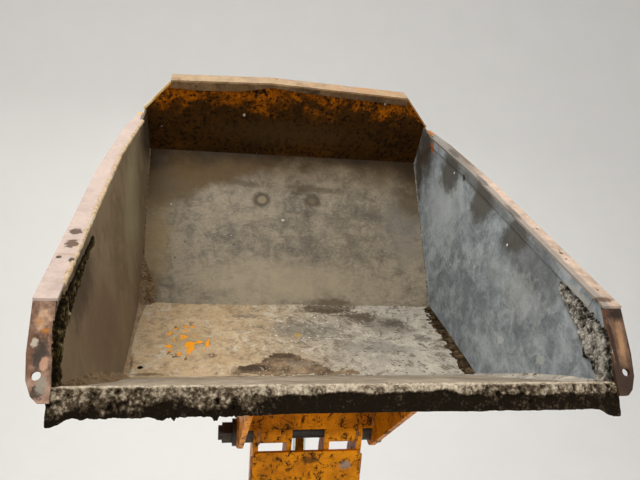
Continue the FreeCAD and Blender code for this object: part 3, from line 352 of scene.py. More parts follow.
# The inside faces of the skip's plates. The side walls are one steel in two copies: the left one darker and browner as
# painted shade, the right one paler and bluer as painted cool light. Each has its ground, dust and stain colours, the
# shares of dust, stain, specks and pits and its contrast, then its scratches (hex colour, strength, turn, length,
# width, lowest, highest) and its patches.
INSIDE_SHEETS = {
    "rolled_steel_left_wall_painted_shade": (
        ("6d5b42", "7d6a50", "52422e", 0.55, 0.16, 0.03, 0.02, 0.06), [],
        [("958666", 0.75, (-0.47, 0.17, 0.62), (0.08, 0.16, 0.32), 0.8, 0.9, 90),
         ("664c39", 0.65, (-0.46, -0.20, 0.24), (0.08, 0.30, 0.14), 0.8, 0.8, 80),
         ("3a2d1f", 0.75, (-0.47, -0.36, 0.30), (0.08, 0.16, 0.09), 0.9, 0.7, 40, (40, 0, 0)),
         ("2f2418", 0.80, (-0.46, 0.36, 0.90), (0.08, 0.16, 0.13), 0.7, 0.7, 50)]),
    "rolled_steel_right_wall_painted_light": (
        ("70797f", "979fa4", "53575a", 0.52, 0.26, 0.30, 0.10, 0.18),
        [("a9aeae", 0.25, (42, 0, 0), 120, 5, 0.57, 0.68), ("5b6062", 0.30, (52, 0, 0), 170, 9, 0.56, 0.70),
         ("a5acad", 0.25, (15, 0, 0), 60, 5, 0.60, 0.70)],
        [("b9c0c3", 0.65, (0.460, 0.200, 0.66), (0.08, 0.20, 0.20), 0.8, 0.9, 60),
         ("3a2c1c", 0.85, (0.452, 0.390, 0.830), (0.06, 0.045, 0.150), 0.7, 0.7, 30),
         ("5f5f60", 0.60, (0.485, -0.270, 0.370), (0.08, 0.20, 0.10), 0.9, 0.8, 50, (40, 0, 0)),
         ("a2a8a8", 0.40, (0.47, -0.13, 0.38), (0.08, 0.14, 0.05), 1.4, 0.6, 22, (35, 0, 0)),
         ("aeb2b1", 0.38, (0.472, -0.230, 0.300), (0.06, 0.12, 0.07), 2.4, 0.5, 18, (35, 0, 0)),
         ("55524d", 0.65, (0.484, -0.010, 0.645), (0.05, 0.33, 0.026), 0.9, 0.6, 30, (40, 0, 0)),
         ("4a4640", 0.88, (0.482, 0.160, 0.745), (0.06, 0.092, 0.088), 0.9, 0.55, 28),
         ("504c46", 0.88, (0.484, -0.035, 0.590), (0.06, 0.090, 0.078), 0.9, 0.55, 28),
         ("4d4943", 0.82, (0.486, -0.205, 0.460), (0.06, 0.085, 0.060), 0.9, 0.55, 28),
         ("3c2f20", 0.90, (0.467, 0.325, 0.890), (0.06, 0.100, 0.150), 0.8, 0.7, 30),
         ("a85a1a", 0.80, (0.462, 0.270, 0.870), (0.06, 0.016, 0.020), 1.4, 0.3, 10),
         ("b4b8b7", 0.70, (0.458, -0.132, 0.212), (0.05, 0.018, 0.012), 1.4, 0.4, 9),
         ("aeb2b1", 0.65, (0.466, -0.298, 0.157), (0.05, 0.022, 0.012), 1.4, 0.4, 9),
         ("2a2825", 0.85, (0.482, 0.073, 0.699), (0.05, 0.012, 0.012), 0.6, 0.4, 10),
         ("e8e6df", 0.90, (0.482, 0.133, 0.735), (0.05, 0.004, 0.004), 0.2, 0.3, 8),
         ("e8e6df", 0.90, (0.482, -0.163, 0.444), (0.05, 0.004, 0.004), 0.2, 0.3, 8),
         ("a29f98", 0.70, (0.486, -0.430, 0.275), (0.05, 0.075, 0.020), 0.9, 0.4, 18, (40, 0, 0))]),
    "rolled_steel_back": (
        ("6a6357", "8f8573", "5c5142", 0.56, 0.30, 0.10, 0.06, 0.16),
        [("b1a898", 0.35, (0, 0, 62), 70, 5, 0.58, 0.68), ("51473a", 0.35, (0, 12, 100), 110, 8, 0.58, 0.70)],
        [("a4967f", 0.60, (0.0, 0.34, 0.43), (0.42, 0.08, 0.11), 0.9, 0.8, 60),
         ("927b54", 0.65, (-0.43, 0.36, 0.55), (0.10, 0.08, 0.26), 0.9, 0.8, 60),
         ("77726c", 0.60, (0.40, 0.38, 0.62), (0.13, 0.08, 0.22), 0.9, 0.8, 60),
         ("4a3d2b", 0.55, (-0.15, 0.403, 0.762), (0.11, 0.08, 0.016), 1.8, 0.7, 24, (0, 5, 0)),
         ("4a3d2b", 0.60, (0.095, 0.403, 0.750), (0.12, 0.08, 0.017), 1.8, 0.6, 24, (0, 3, 0)),
         ("51432e", 0.70, (0.13, 0.34, 0.356), (0.09, 0.08, 0.020), 1.4, 0.6, 24),
         # Painted shade under the guard, with stain, in the back's two top corners
         ("2f200e", 0.80, (-0.45, 0.42, 0.86), (0.11, 0.09, 0.10), 0.8, 0.8, 60),
         ("2c1e0d", 0.85, (0.44, 0.42, 0.85), (0.11, 0.09, 0.13), 0.8, 0.8, 60),
         ("53442d", 0.70, (0.43, 0.40, 0.72), (0.09, 0.09, 0.11), 0.8, 0.8, 60),
         ("33291d", 0.72, (-0.087, 0.396, 0.704), (0.038, 0.05, 0.037), 0.6, 0.5, 18),
         ("8a7c66", 0.90, (-0.086, 0.396, 0.703), (0.019, 0.05, 0.018), 0.4, 0.45, 14),
         ("33291d", 0.70, (0.083, 0.396, 0.708), (0.038, 0.05, 0.035), 0.8, 0.5, 18),
         ("6d604d", 0.80, (0.081, 0.396, 0.706), (0.018, 0.05, 0.016), 0.6, 0.6, 12),
         ("3f3424", 0.50, (0.045, 0.396, 0.735), (0.05, 0.05, 0.014), 0.9, 0.6, 14),
         ("cdc4b2", 0.75, (-0.018, 0.382, 0.633), (0.007, 0.05, 0.005), 1.8, 0.4, 4),
         ("cdc4b2", 0.65, (-0.376, 0.390, 0.675), (0.004, 0.05, 0.003), 1.2, 0.4, 4),
         ("6a573b", 0.60, (-0.43, 0.34, 0.40), (0.05, 0.06, 0.07), 0.7, 0.6, 20)]),
    "rolled_steel_floor": (
        ("604d39", "87735a", "33261a", 0.50, 0.45, 0.45, 0.50, 0.40), [],
        [("f7a00c", 0.97, (-0.290, 0.150, 0.228), (0.085, 0.10, 0.08), 0.4, 0.2, 12),
         # Painted shade: a near-black spot round the drain hole
         ("0e0b08", 0.95, DRAIN_HOLE, (0.009, 0.010, 0.009), 0.2, 0.3, 8),
         ("94897b", 0.35, (-0.01, 0.045, 0.162), (0.05, 0.02, 0.02), 2.0, 0.5, 9),
         ("33271a", 0.75, (-0.06, 0.080, 0.183), (0.05, 0.016, 0.012), 1.2, 0.5, 9),
         ("33271a", 0.75, (-0.13, 0.030, 0.152), (0.05, 0.022, 0.018), 1.2, 0.5, 9)]),
    "rolled_steel_lip": (
        ("7a6e5d", "9a8d7b", "55493a", 0.55, 0.36, 0.20, 0.16, 0.28),
        [("aaa090", 0.40, (0, 0, 90), 90, 4, 0.55, 0.66)], []),
}
# Dark bands at the top of the back panel, partly stain and partly painted shade under the guard, as hex colour,
# direction, level from the tip pin, softness, raggedness and strength
BACK_SHADE_AND_STAIN_BANDS = [
    ("574324", (-0.5, 0.0, 1.0), 0.862, 0.030, 0.12, 0.82),
    ("4f3b1c", (0.0, 0.0, 1.0), 0.785, 0.090, 0.12, 0.88),
    ("1d1207", (0.0, 0.0, 1.0), 0.845, 0.050, 0.10, 0.95),
]


def make_inside_sheets():
    """Hot-rolled sheet, rubbed by its loads: dull steel and dust with scratches that run the way the load slides. The
    side walls also carry painted shade and painted light, and the back carries painted shade under the guard.
    """
    for name, (ground, lines, spots) in INSIDE_SHEETS.items():
        tree, where = start_material(name)
        colour, rough, height = worn(tree, where, *ground)
        for code, strength, *shape in lines:
            colour = cover(tree, colour, scratches(tree, where, *shape), strength, paint(code))
        if name == "rolled_steel_back":
            # Painted shade under the guard, with stain, across the top of the back
            for code, direction, level, soft, ragged, strength in BACK_SHADE_AND_STAIN_BANDS:
                dark = beyond(tree, where, direction, PIVOT[1] + level, soft, ragged, 90)
                colour = cover(tree, colour, dark, strength, paint(code))
        colour = patches(tree, where, colour, spots)
        end_material(tree, colour, rough, height=height, depth_mm=0.8, gloss=0.18)


def make_guard_finish():
    """Old brushed enamel, burnt brown and rusty, with orange left only under the rim. Its dark ground is partly burnt
    enamel and partly painted shade, as the guard faces down.
    """
    tree, where = start_material("guard_burnt_enamel_and_painted_shade")
    # Painted shade with burnt enamel: the dark ground of the down-facing guard
    colour, rough, height = worn(tree, where, "33200a", "40270b", "1c1106", 0.45, 0.40, 0.06, 0.25, 0.18)
    high = beyond(tree, where, (0.0, 0.0, 1.0), PIVOT[1] + 0.994, 0.020, 0.16, 60)
    orange = add(tree, "ShaderNodeMath", {0: high, 1: blots(tree, where, (45, 7.0, 0.72, 0.4), 0.38, 0.52)},
                 operation="MULTIPLY")
    glow = add(tree, "ShaderNodeValToRGB", {0: grains(tree, where, (16, 5.0, 0.7, 0.0))[0]})
    set_stops(glow, (0.30, "6e3a05"), (0.55, "a05706"), (0.75, "c4720b"))
    colour = cover(tree, colour, orange, 0.9, glow)
    colour = cover(tree, colour, blots(tree, where, (12, 6.0, 0.75, 0.0), 0.53, 0.58), 0.95, paint("150d06"))
    colour = patches(tree, where, colour, [
        ("40301a", 0.6, (0.0, 0.350, 0.925), (0.34, 0.10, 0.050), 0.8, 0.8, 30),
        ("c9c0ae", 0.7, (-0.153, 0.328, 0.969), (0.005, 0.03, 0.005), 1.6, 0.5, 4),
        ("d9d2c4", 0.8, (0.290, 0.264, 1.029), (0.006, 0.03, 0.005), 0.9, 0.4, 5),
        ("d9d2c4", 0.7, (0.310, 0.276, 1.018), (0.004, 0.03, 0.004), 0.6, 0.4, 5)])
    end_material(tree, colour, rough, height=height, depth_mm=0.9, gloss=0.03)


def make_enamel(name, top, faded, dirt, chips, dirt_share, spots=()):
    """Sprayed enamel with chips down to rust, rubbed places, fine scores and a film of dirt."""
    tree, where = start_material(name)
    # The finest dirt is well under a millimetre, and is drawn at 4 mm, so that it shows
    broad, middle, fine = grains(tree, where, (120, 6.0, 0.65, 0.3), (20, 8.0, 0.74, 0.6), (4, 4.0, 0.65, 0.0))
    colour = drift(tree, broad, 0.40, 0.60, top, faded)
    film = add(tree, "ShaderNodeMapRange", {
        "Value": mixed(tree, (broad, 1.0), (middle, 0.5)), "From Min": 1.0 - dirt_share, "From Max": 1.25 - dirt_share,
    }, interpolation_type="SMOOTHSTEP")
    colour = cover(tree, colour, film, 0.7, paint(dirt))
    spot = mixed(tree, (middle, 1.0), (fine, 0.35))
    rusty = add(tree, "ShaderNodeMapRange", {"Value": spot, "From Min": 0.80 - chips, "From Max": 0.86 - chips},
                interpolation_type="SMOOTHSTEP")
    colour = cover(tree, colour, rusty, 0.35, paint("6d3d14"))
    chipped = add(tree, "ShaderNodeMapRange", {"Value": spot, "From Min": 0.85 - chips, "From Max": 0.88 - chips},
                  interpolation_type="SMOOTHSTEP")
    score = scratches(tree, where, (25, 35, 50), 45, 2, 0.64, 0.68)
    score = add(tree, "ShaderNodeMath", {0: score, 1: 0.7}, operation="MULTIPLY")
    pits = add(tree, "ShaderNodeMath", {0: chipped, 1: score}, operation="MAXIMUM")
    colour = cover(tree, colour, pits, 0.9, paint("241910"))
    colour = shaded(tree, colour, fine, 0.3, 0.7, 0.88, 1.10)
    colour = patches(tree, where, colour, spots)
    dull = add(tree, "ShaderNodeMath", {0: film, 1: pits}, operation="ADD")
    rough = add(tree, "ShaderNodeMapRange", {"Value": dull, "To Min": 0.40, "To Max": 0.85},
                interpolation_type="SMOOTHSTEP")
    relief = mixed(tree, (middle, 0.4), (pits, -1.0))
    end_material(tree, colour, rough, height=relief, depth_mm=0.4, gloss=0.08)


# Dark scrapes, grease and bare places on the cross beam, the arm's head and the gussets, and painted shade on the
# right gusset
CARRIER_SPOTS = [
    ("1f150c", 0.9, (-0.052, -0.048, 0.024), (0.022, 0.01, 0.0013), 0.4, 0.5, 6, (0, 31, 0)),
    ("1f150c", 0.9, (-0.020, -0.048, 0.024), (0.0014, 0.01, 0.018), 0.4, 0.5, 6),
    ("1f150c", 0.85, (0.052, -0.048, 0.040), (0.016, 0.01, 0.003), 1.2, 0.4, 5, (0, -40, 0)),
    ("1f150c", 0.85, (-0.041, -0.013, -0.051), (0.018, 0.012, 0.0012), 0.5, 0.5, 6, (0, 30, 0)),
    ("1f150c", 0.85, (0.034, -0.013, -0.050), (0.0013, 0.012, 0.014), 0.5, 0.5, 6),
    ("4a3016", 0.8, (0.006, -0.003, -0.068), (0.030, 0.02, 0.012), 1.2, 0.5, 9),
    ("8a8178", 0.8, (0.094, 0.005, -0.083), (0.018, 0.02, 0.014), 1.2, 0.5, 8),
    ("3a2814", 0.7, (-0.10, 0.03, -0.13), (0.035, 0.03, 0.030), 1.4, 0.5, 12),
    ("3a2814", 0.6, (0.09, 0.10, -0.26), (0.040, 0.04, 0.060), 1.4, 0.6, 20),
    # Painted shade: the right gusset lies in shadow
    ("6b3c08", 0.5, (0.165, 0.00, 0.06), (0.020, 0.40, 0.120), 0.8, 0.5, 20),
]


def make_rim_finishes():
    """Rim steel under caked dust: pale and smooth on the left, browner on the right, with knocked dark places. The
    left rim's paleness is partly painted light, and the right rim's browner tone is partly painted shade.
    """
    tree, where = start_material("rim_steel_pale_dust_and_painted_light")
    colour, rough, height = worn(tree, where, "ae9b91", "beaca2", "907f73", 0.62, 0.30, 0.03, 0.03, 0.08)
    colour = patches(tree, where, colour, [
        ("cfa755", 0.85, (-0.470, 0.325, 0.955), (0.05, 0.028, 0.030), 0.6, 0.5, 14),
        ("4d382b", 0.90, (-0.506, -0.322, 0.404), (0.015, 0.016, 0.016), 1.8, 0.35, 9),
        ("553d2e", 0.88, (-0.503, -0.362, 0.372), (0.015, 0.022, 0.018), 2.0, 0.35, 8),
        ("3a2b22", 0.90, (-0.515, -0.404, 0.338), (0.006, 0.008, 0.006), 0.8, 0.35, 6),
        ("3a2b22", 0.90, (-0.491, -0.411, 0.332), (0.006, 0.010, 0.009), 0.9, 0.35, 6),
        ("a8917d", 0.70, (-0.500, -0.395, 0.345), (0.030, 0.006, 0.005), 1.0, 0.5, 9),
        ("b49b85", 0.55, (-0.488, -0.10, 0.59), (0.007, 0.45, 0.36), 0.8, 0.6, 20)])
    end_material(tree, colour, rough, height=height, depth_mm=0.6, gloss=0.15)
    tree, where = start_material("rim_steel_brown_dust_and_painted_shade")
    colour, rough, height = worn(tree, where, "a8917e", "c2ab98", "7b6453", 0.60, 0.34, 0.06, 0.14, 0.14)
    upper = beyond(tree, where, (0.0, 0.0, 1.0), PIVOT[1] + 0.715, 0.05, 0.10, 60)
    colour = cover(tree, colour, upper, 0.85, paint("5c4a39"))
    inner = beyond(tree, where, (-1.0, 0.0, 0.0), -0.5005, 0.004, 0.012, 30)
    colour = cover(tree, colour, inner, 0.7, paint("7c7a75"))
    colour = patches(tree, where, colour, [
        ("a8611c", 0.85, (0.482, 0.312, 0.940), (0.05, 0.030, 0.034), 0.9, 0.4, 14),
        ("4d4741", 0.80, (0.490, 0.160, 0.800), (0.016, 0.060, 0.050), 0.9, 0.5, 18),
        ("55504a", 0.75, (0.493, -0.020, 0.655), (0.012, 0.060, 0.050), 0.9, 0.5, 18),
        ("55504a", 0.70, (0.493, -0.180, 0.520), (0.012, 0.060, 0.050), 0.9, 0.5, 18),
        ("33261c", 0.90, (0.512, -0.256, 0.463), (0.003, 0.006, 0.005), 0.8, 0.4, 5),
        ("33261c", 0.90, (0.511, -0.347, 0.386), (0.004, 0.008, 0.007), 0.8, 0.4, 5),
        ("33261c", 0.90, (0.508, -0.368, 0.368), (0.003, 0.005, 0.004), 0.8, 0.4, 5),
        ("4a2f1e", 0.80, (0.500, -0.490, 0.262), (0.030, 0.012, 0.012), 1.0, 0.5, 8)])
    end_material(tree, colour, rough, height=height, depth_mm=0.8, gloss=0.15)
    tree, where = start_material("rim_top_dusty_enamel")
    colour, rough, height = worn(tree, where, "84653e", "a68d6d", "5a3a1a", 0.62, 0.38, 0.05, 0.15, 0.16)
    right = beyond(tree, where, (1.0, 0.0, 0.0), 0.05, 0.30, 0.2, 80)
    orange = add(tree, "ShaderNodeMath", {0: right, 1: blots(tree, where, (30, 6.0, 0.7, 0.0), 0.46, 0.60)},
                 operation="MULTIPLY")
    colour = cover(tree, colour, orange, 0.7, paint("a8753a"))
    end_material(tree, colour, rough, height=height, depth_mm=0.6, gloss=0.2)
    tree, where = start_material("edge_bar_worn_steel")
    colour, rough, height = worn(tree, where, "5b4329", "7a5f40", "2a1e14", 0.50, 0.42, 0.10, 0.15, 0.20)
    end_material(tree, colour, rough, metal=0.3, height=height, depth_mm=0.5, gloss=0.3)
    tree, where = start_material("wing_strip_enamel")
    colour, rough, height = worn(tree, where, "b58438", "d6bd84", "7a5222", 0.55, 0.30, 0.05, 0.12, 0.12)
    right = beyond(tree, where, (1.0, 0.0, 0.0), 0.0, 0.05)
    colour = cover(tree, colour, right, 0.75, paint("94561c"))
    end_material(tree, colour, rough, height=height, depth_mm=0.6)


def make_ear_finish():
    """Rusted plate with traces of orange enamel, grey mortar and dark grease round its hole."""
    tree, where = start_material("ear_rusted_steel")
    colour, rough, height = worn(tree, where, "6c4e3b", "9a7e6c", "33231a", 0.50, 0.38, 0.16, 0.35, 0.26)
    right = beyond(tree, where, (1.0, 0.0, 0.0), 0.0, 0.05)
    colour = cover(tree, colour, right, 0.70, paint("553b27"))
    # The right ear has pale streaks down it and is darker below its hole
    streaks = scratches(tree, where, (80, 0, 0), 60, 16, 0.46, 0.66)
    low = beyond(tree, where, (0.0, 0.0, -1.0), -PIVOT[1] - 0.150, 0.020, 0.06, 30)
    for mask, strength, code in ((streaks, 0.55, "a5805f"), (low, 0.80, "33241a")):
        mask = add(tree, "ShaderNodeMath", {0: right, 1: mask}, operation="MULTIPLY")
        colour = cover(tree, colour, mask, strength, paint(code))
    colour = patches(tree, where, colour, [
        ("d0ab8c", 0.70, (-0.506, -0.53, 0.220), (0.022, 0.03, 0.034), 1.4, 0.6, 12),
        ("35302c", 0.88, (-0.501, -0.53, 0.158), (0.017, 0.03, 0.032), 1.6, 0.5, 12),
        ("c79a80", 0.70, (-0.494, -0.53, 0.145), (0.008, 0.03, 0.014), 1.4, 0.5, 8),
        ("2e2a26", 0.80, (-0.500, -0.53, 0.100), (0.014, 0.03, 0.014), 1.8, 0.4, 8),
        ("bcb2a2", 0.75, (-0.512, -0.53, 0.178), (0.007, 0.03, 0.010), 1.2, 0.4, 8),
        ("b5732f", 0.80, (-0.498, -0.53, 0.196), (0.008, 0.03, 0.007), 1.6, 0.5, 5),
        ("b5732f", 0.80, (-0.509, -0.53, 0.212), (0.006, 0.03, 0.010), 1.6, 0.5, 5),
        ("8d8679", 0.80, (-0.494, -0.53, 0.112), (0.010, 0.03, 0.016), 1.2, 0.4, 7),
        ("241912", 0.92, (0.512, -0.53, 0.236), (0.034, 0.04, 0.023), 0.6, 0.4, 9),
        ("2a1d13", 0.85, (0.491, -0.53, 0.185), (0.006, 0.04, 0.060), 0.9, 0.4, 8),
        ("a88058", 0.60, (0.508, -0.53, 0.185), (0.009, 0.04, 0.040), 1.2, 0.6, 9),
        ("2a1d13", 0.80, (0.524, -0.53, 0.150), (0.006, 0.03, 0.090), 0.8, 0.4, 10),
        ("33251a", 0.75, (0.505, -0.53, 0.100), (0.020, 0.03, 0.024), 0.9, 0.6, 12)])
    end_material(tree, colour, rough, height=height, depth_mm=1.0, gloss=0.12)


# Dried mortar and clay. Each has its dark, body, pale and rubbed colours.
MORTARS = {
    "mortar_lip": ("1c160e", "564a3a", "a79984", "cfc1aa"),
    "mortar_dark_and_painted_shade": ("100b05", "33270f", "6b5e43", "b3a78c"),
    "mortar_grey": ("1e1b16", "65615a", "a19d95", "c0bcb4"),
    "mortar_tan": ("543f2b", "8a7357", "a88f70", "bfaa8d"),
    "mortar_brown": ("221a11", "4a3c2a", "6f614c", "95886f"),
    "mortar_film": ("4c4032", "958977", "b0a693", "cbc1ae"),
}


def make_mortars():
    """Dried mortar, rough and chalky.

    The attribute "shade" on the mesh runs from 0, darkest, to 1, rubbed pale. Its dark end is partly dark dirty mortar
    and partly painted shade in hollows between lumps, low on the lip's front and along the wall crusts' edges.
    """
    for name, (dark, body, pale, rubbed) in MORTARS.items():
        tree, where = start_material(name)
        shade = add(tree, "ShaderNodeAttribute", attribute_name="shade").outputs["Fac"]
        # Lumps of 16 mm, and sand of about 1 mm that is drawn at 4.5 mm, so that it shows
        middle, fine = grains(tree, where, (16, 7.0, 0.72, 0.6), (4.5, 5.0, 0.75, 0.0))
        film = name == "mortar_film"
        value = mixed(tree, (shade, 1.0), (middle, 1.1 if film else 1.3), (fine, 0.3 if film else 1.3))
        value = add(tree, "ShaderNodeMath", {0: value, 1: 0.70 if film else 1.3}, operation="SUBTRACT")
        colour = add(tree, "ShaderNodeValToRGB", {0: value})
        set_stops(colour, (0.02, dark), (0.38, body), (0.70, pale), (1.0, rubbed))
        if film:
            colour = film_tints(tree, where, colour)
        colour = shaded(tree, colour, fine, 0.3, 0.7, 0.84, 1.12)
        relief = mixed(tree, (middle, 1.0), (fine, 0.8))
        end_material(tree, colour, 0.93, height=relief, depth_mm=1.4 if film else 4.0, gloss=0.04)


def film_tints(tree, where, colour):
    """The film on the floor: tan at the left, greyer in the middle and right, with small dark and white marks. The tan
    at the left and the grey at the right are partly the film's colour and partly painted warm and cool light.
    """
    # Painted light with film colour: a warm tan at the left and a cool grey at the right
    left = beyond(tree, where, (-1.0, 0.0, 0.0), 0.05, 0.30, 0.3, 120)
    colour = cover(tree, colour, left, 0.62, paint("d3b387"))
    right = beyond(tree, where, (1.0, 0.0, 0.0), 0.10, 0.25, 0.2, 80)
    colour = cover(tree, colour, right, 0.55, paint("bdbab3"))
    # Dark clouds and marks thin out to the left
    thinned = []
    for most, less in ((0.78, 0.40), (0.75, 0.65)):
        loss = add(tree, "ShaderNodeMath", {0: left, 1: less}, operation="MULTIPLY")
        thinned.append(add(tree, "ShaderNodeMath", {0: most, 1: loss}, operation="SUBTRACT"))
    colour = cover(tree, colour, blots(tree, where, (34, 8.0, 0.75, 0.8), 0.50, 0.60), thinned[0], paint("675c4d"))
    colour = cover(tree, colour, blots(tree, where, (50, 8.0, 0.72, 0.5), 0.52, 0.64), 0.60, paint("d3cab9"))
    colour = cover(tree, colour, blots(tree, where, (11, 6.0, 0.75, 0.0), 0.55, 0.66), 0.55, paint("54493b"))
    colour = cover(tree, colour, specks(tree, where, 15, 0.65, 0.10, 0.28), thinned[1], paint("3a3026"))
    grey_zone = patch(tree, where, (0.035, 0.20, 0.262), (0.13, 0.12, 0.11), 1.6, 0.4, 30)
    chips = add(tree, "ShaderNodeMath", {0: specks(tree, where, 12, 0.85, 0.16, 0.36), 1: grey_zone},
                operation="MULTIPLY")
    colour = cover(tree, colour, chips, 0.9, paint("e9e6dd"))
    return patches(tree, where, colour, [
        ("66655f", 0.55, (0.03, 0.20, 0.26), (0.17, 0.09, 0.08), 1.8, 0.8, 25),
        ("6c655a", 0.60, (0.27, 0.23, 0.28), (0.10, 0.08, 0.07), 1.6, 0.6, 22),
        ("6f6d66", 0.45, (0.22, 0.11, 0.21), (0.13, 0.06, 0.05), 2.2, 0.7, 22),
        ("493d2c", 0.80, (0.110, 0.310, 0.334), (0.11, 0.040, 0.026), 2.0, 0.5, 18),
        ("493d2c", 0.78, (0.200, 0.270, 0.306), (0.065, 0.050, 0.034), 2.2, 0.5, 16),
        ("3d352b", 0.60, (0.300, 0.235, 0.284), (0.045, 0.04, 0.03), 2.6, 0.5, 12),
        ("4a4136", 0.55, (0.360, 0.160, 0.235), (0.030, 0.03, 0.02), 2.2, 0.5, 10),
        ("4a4136", 0.50, (-0.140, 0.270, 0.306), (0.060, 0.020, 0.016), 2.2, 0.5, 12),
        ("a38f67", 0.60, (-0.30, 0.15, 0.228), (0.075, 0.08, 0.06), 0.9, 0.8, 20),
        ("b9952f", 0.55, (0.000, 0.172, 0.243), (0.012, 0.020, 0.016), 2.0, 0.5, 7),
        ("5c482d", 0.75, (-0.434, 0.040, 0.160), (0.012, 0.080, 0.060), 0.8, 0.7, 14),
        ("5c482d", 0.75, (-0.385, 0.006, 0.135), (0.055, 0.012, 0.010), 0.8, 0.7, 12),
        # Painted shade: a near-black spot round the drain hole
        ("14100b", 0.95, DRAIN_HOLE, (0.008, 0.009, 0.008), 0.2, 0.3, 8)])


def make_small_finishes():
    """Pins, welds, the ram's rod and the rest pads, each with its own dirt.

    Turned steel is dark and dull under its grease, hand-laid weld is rippled and patchy, hard chrome gives a slightly
    blurred mirror, and moulded rubber is matt.
    """
    tree, where = start_material("pin_greased_steel")
    colour, rough, height = worn(tree, where, "2e2924", "4a4138", "17110c", 0.40, 0.50, 0.05, 0.10, 0.15)
    end_material(tree, colour, 0.48, metal=0.6, height=height, depth_mm=0.3)
    # Each has its grain, where in it the colour drifts from a first to a second one, its roughness, or the lowest and
    # highest, its metal and its relief in millimetres. Polishing marks are far finer, and are drawn at 6 mm
    for name, grain, low, high, first, second, rough, metal, depth_mm in (
            ("weld_steel_painted", (12, 5.0, 0.7, 0.0), 0.40, 0.65, "a8681c", "4a3018", 0.62, 0.0, 0.5),
            ("weld_steel_bare", (12, 5.0, 0.7, 0.0), 0.40, 0.65, "6e5f4d", "3d3024", 0.62, 0.3, 0.5),
            ("ram_hard_chrome", (6, 3.0, 0.6, 0.0), 0.45, 0.75, "c9cbcc", "9fa09f", (0.12, 0.26), 1.0, 0.02),
            ("pad_moulded_rubber", (20, 5.0, 0.7, 0.0), 0.40, 0.70, "1c1b1a", "4a443c", 0.85, 0.0, 0.4)):
        tree, where = start_material(name)
        pattern = grains(tree, where, grain)[0]
        if isinstance(rough, tuple):
            rough = add(tree, "ShaderNodeMapRange", {"Value": pattern, "From Min": 0.3, "From Max": 0.7,
                                                     "To Min": rough[0], "To Max": rough[1]},
                        interpolation_type="SMOOTHSTEP")
        colour = drift(tree, pattern, low, high, paint(first), paint(second))
        end_material(tree, colour, rough, metal=metal, height=pattern, depth_mm=depth_mm)


class SKIP_OT_finishes(bpy.types.Operator):
    """Make every finish and lay it on the part's own sheets, bars and pins"""
    bl_idname = "skip.finishes"
    bl_label = "Lay the finishes"

    def execute(self, context):
        look = context.scene.skip_look
        GROUPS["patch"] = patch_group()
        GROUPS["worn"] = worn_group()
        make_inside_sheets()
        make_guard_finish()
        orange, amber = tuple(look.skip_orange) + (1.0,), tuple(look.carrier_amber) + (1.0,)
        make_enamel("skip_orange_enamel", orange, paint("9d5c16"), "6e5a41", 0.07, look.outside_dirt)
        make_enamel("carrier_amber_enamel", amber, paint("bb7008"), "6b4410", 0.12, look.carrier_dirt, CARRIER_SPOTS)
        make_enamel("ram_black_enamel", paint("1d1d1e"), paint("2a2927"), "5a5043", 0.02, look.carrier_dirt)
        make_rim_finishes()
        make_ear_finish()
        make_mortars()
        make_small_finishes()
        for name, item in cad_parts.items():
            lay_finish(name, item)
        return {"FINISHED"}


# The finish of each sheet's inner face, by node. The outer face has the skip's enamel
INNER_FACES = {
    "skip_side_left": "rolled_steel_left_wall_painted_shade",
    "skip_side_right": "rolled_steel_right_wall_painted_light",
    "skip_back_plate": "rolled_steel_back",
    "skip_floor_plate": "rolled_steel_floor",
    "skip_lip_plate": "rolled_steel_lip",
    "skip_guard_plate": "guard_burnt_enamel_and_painted_shade",
}
# The finishes of other nodes, by how their names start, where the first that fits holds. The rest have the carrier's
WHOLE_PIECES = [
    ("skip_rim_leg_left", "rolled_steel_left_wall_painted_shade"),
    ("skip_rim_leg_right", "rolled_steel_right_wall_painted_light"),
    ("skip_rim_left", "rim_steel_pale_dust_and_painted_light"),
    ("skip_rim_right", "rim_steel_brown_dust_and_painted_shade"),
    ("skip_rim_top", "rim_top_dusty_enamel"),
    ("skip_edge_bar", "edge_bar_worn_steel"),
    ("skip_wing_strips", "wing_strip_enamel"),
    ("skip_ears", "ear_rusted_steel"),
    # The lip bar gets the dark mortar with no shade on its mesh, so where it shows under the crust it is near-black
    # painted shade
    ("skip_lip_bar", "mortar_dark_and_painted_shade"),
    ("pivot_", "pin_greased_steel"),
    ("rod_pin_heads", "pin_greased_steel"),
    ("ram_foot_pin", "pin_greased_steel"),
    ("tip_ram_rod_pin", "pin_greased_steel"),
    ("tip_ram_rod_eye", "ram_black_enamel"),
    ("tip_ram_rod", "ram_hard_chrome"),
    ("tip_ram", "ram_black_enamel"),
    ("rest_pad_bosses", "skip_orange_enamel"),
    ("rest_pads", "pad_moulded_rubber"),
]


def lay_finish(name, item):
    """Put a finish on a part's node: sheets get one inside and another outside, the side sheets get worn steel on
    their front ends, and the faces round the floor's drain hole get near-black mortar as painted shade.
    """
    mesh = item.data
    mesh.materials.clear()
    if name in INNER_FACES:
        for made in ("skip_orange_enamel", INNER_FACES[name], "edge_bar_worn_steel", "mortar_dark_and_painted_shade"):
            mesh.materials.append(MADE[made])
        drain = Vector(rel(*DRAIN_HOLE))
        for face in mesh.polygons:
            if name.startswith("skip_side") and face.normal.y < -0.5:
                face.material_index = 2
            # Painted shade: the faces round the drain hole get the near-black mortar
            elif name == "skip_floor_plate" and (face.center - drain).length < 0.012:
                face.material_index = 3
            else:
                face.material_index = int(face.normal.dot(INSIDE - face.center) > 0.05)
        return
    finish = next((made for start, made in WHOLE_PIECES if name.startswith(start)), "carrier_amber_enamel")
    mesh.materials.append(MADE[finish])
    for face in mesh.polygons:
        face.material_index = 0


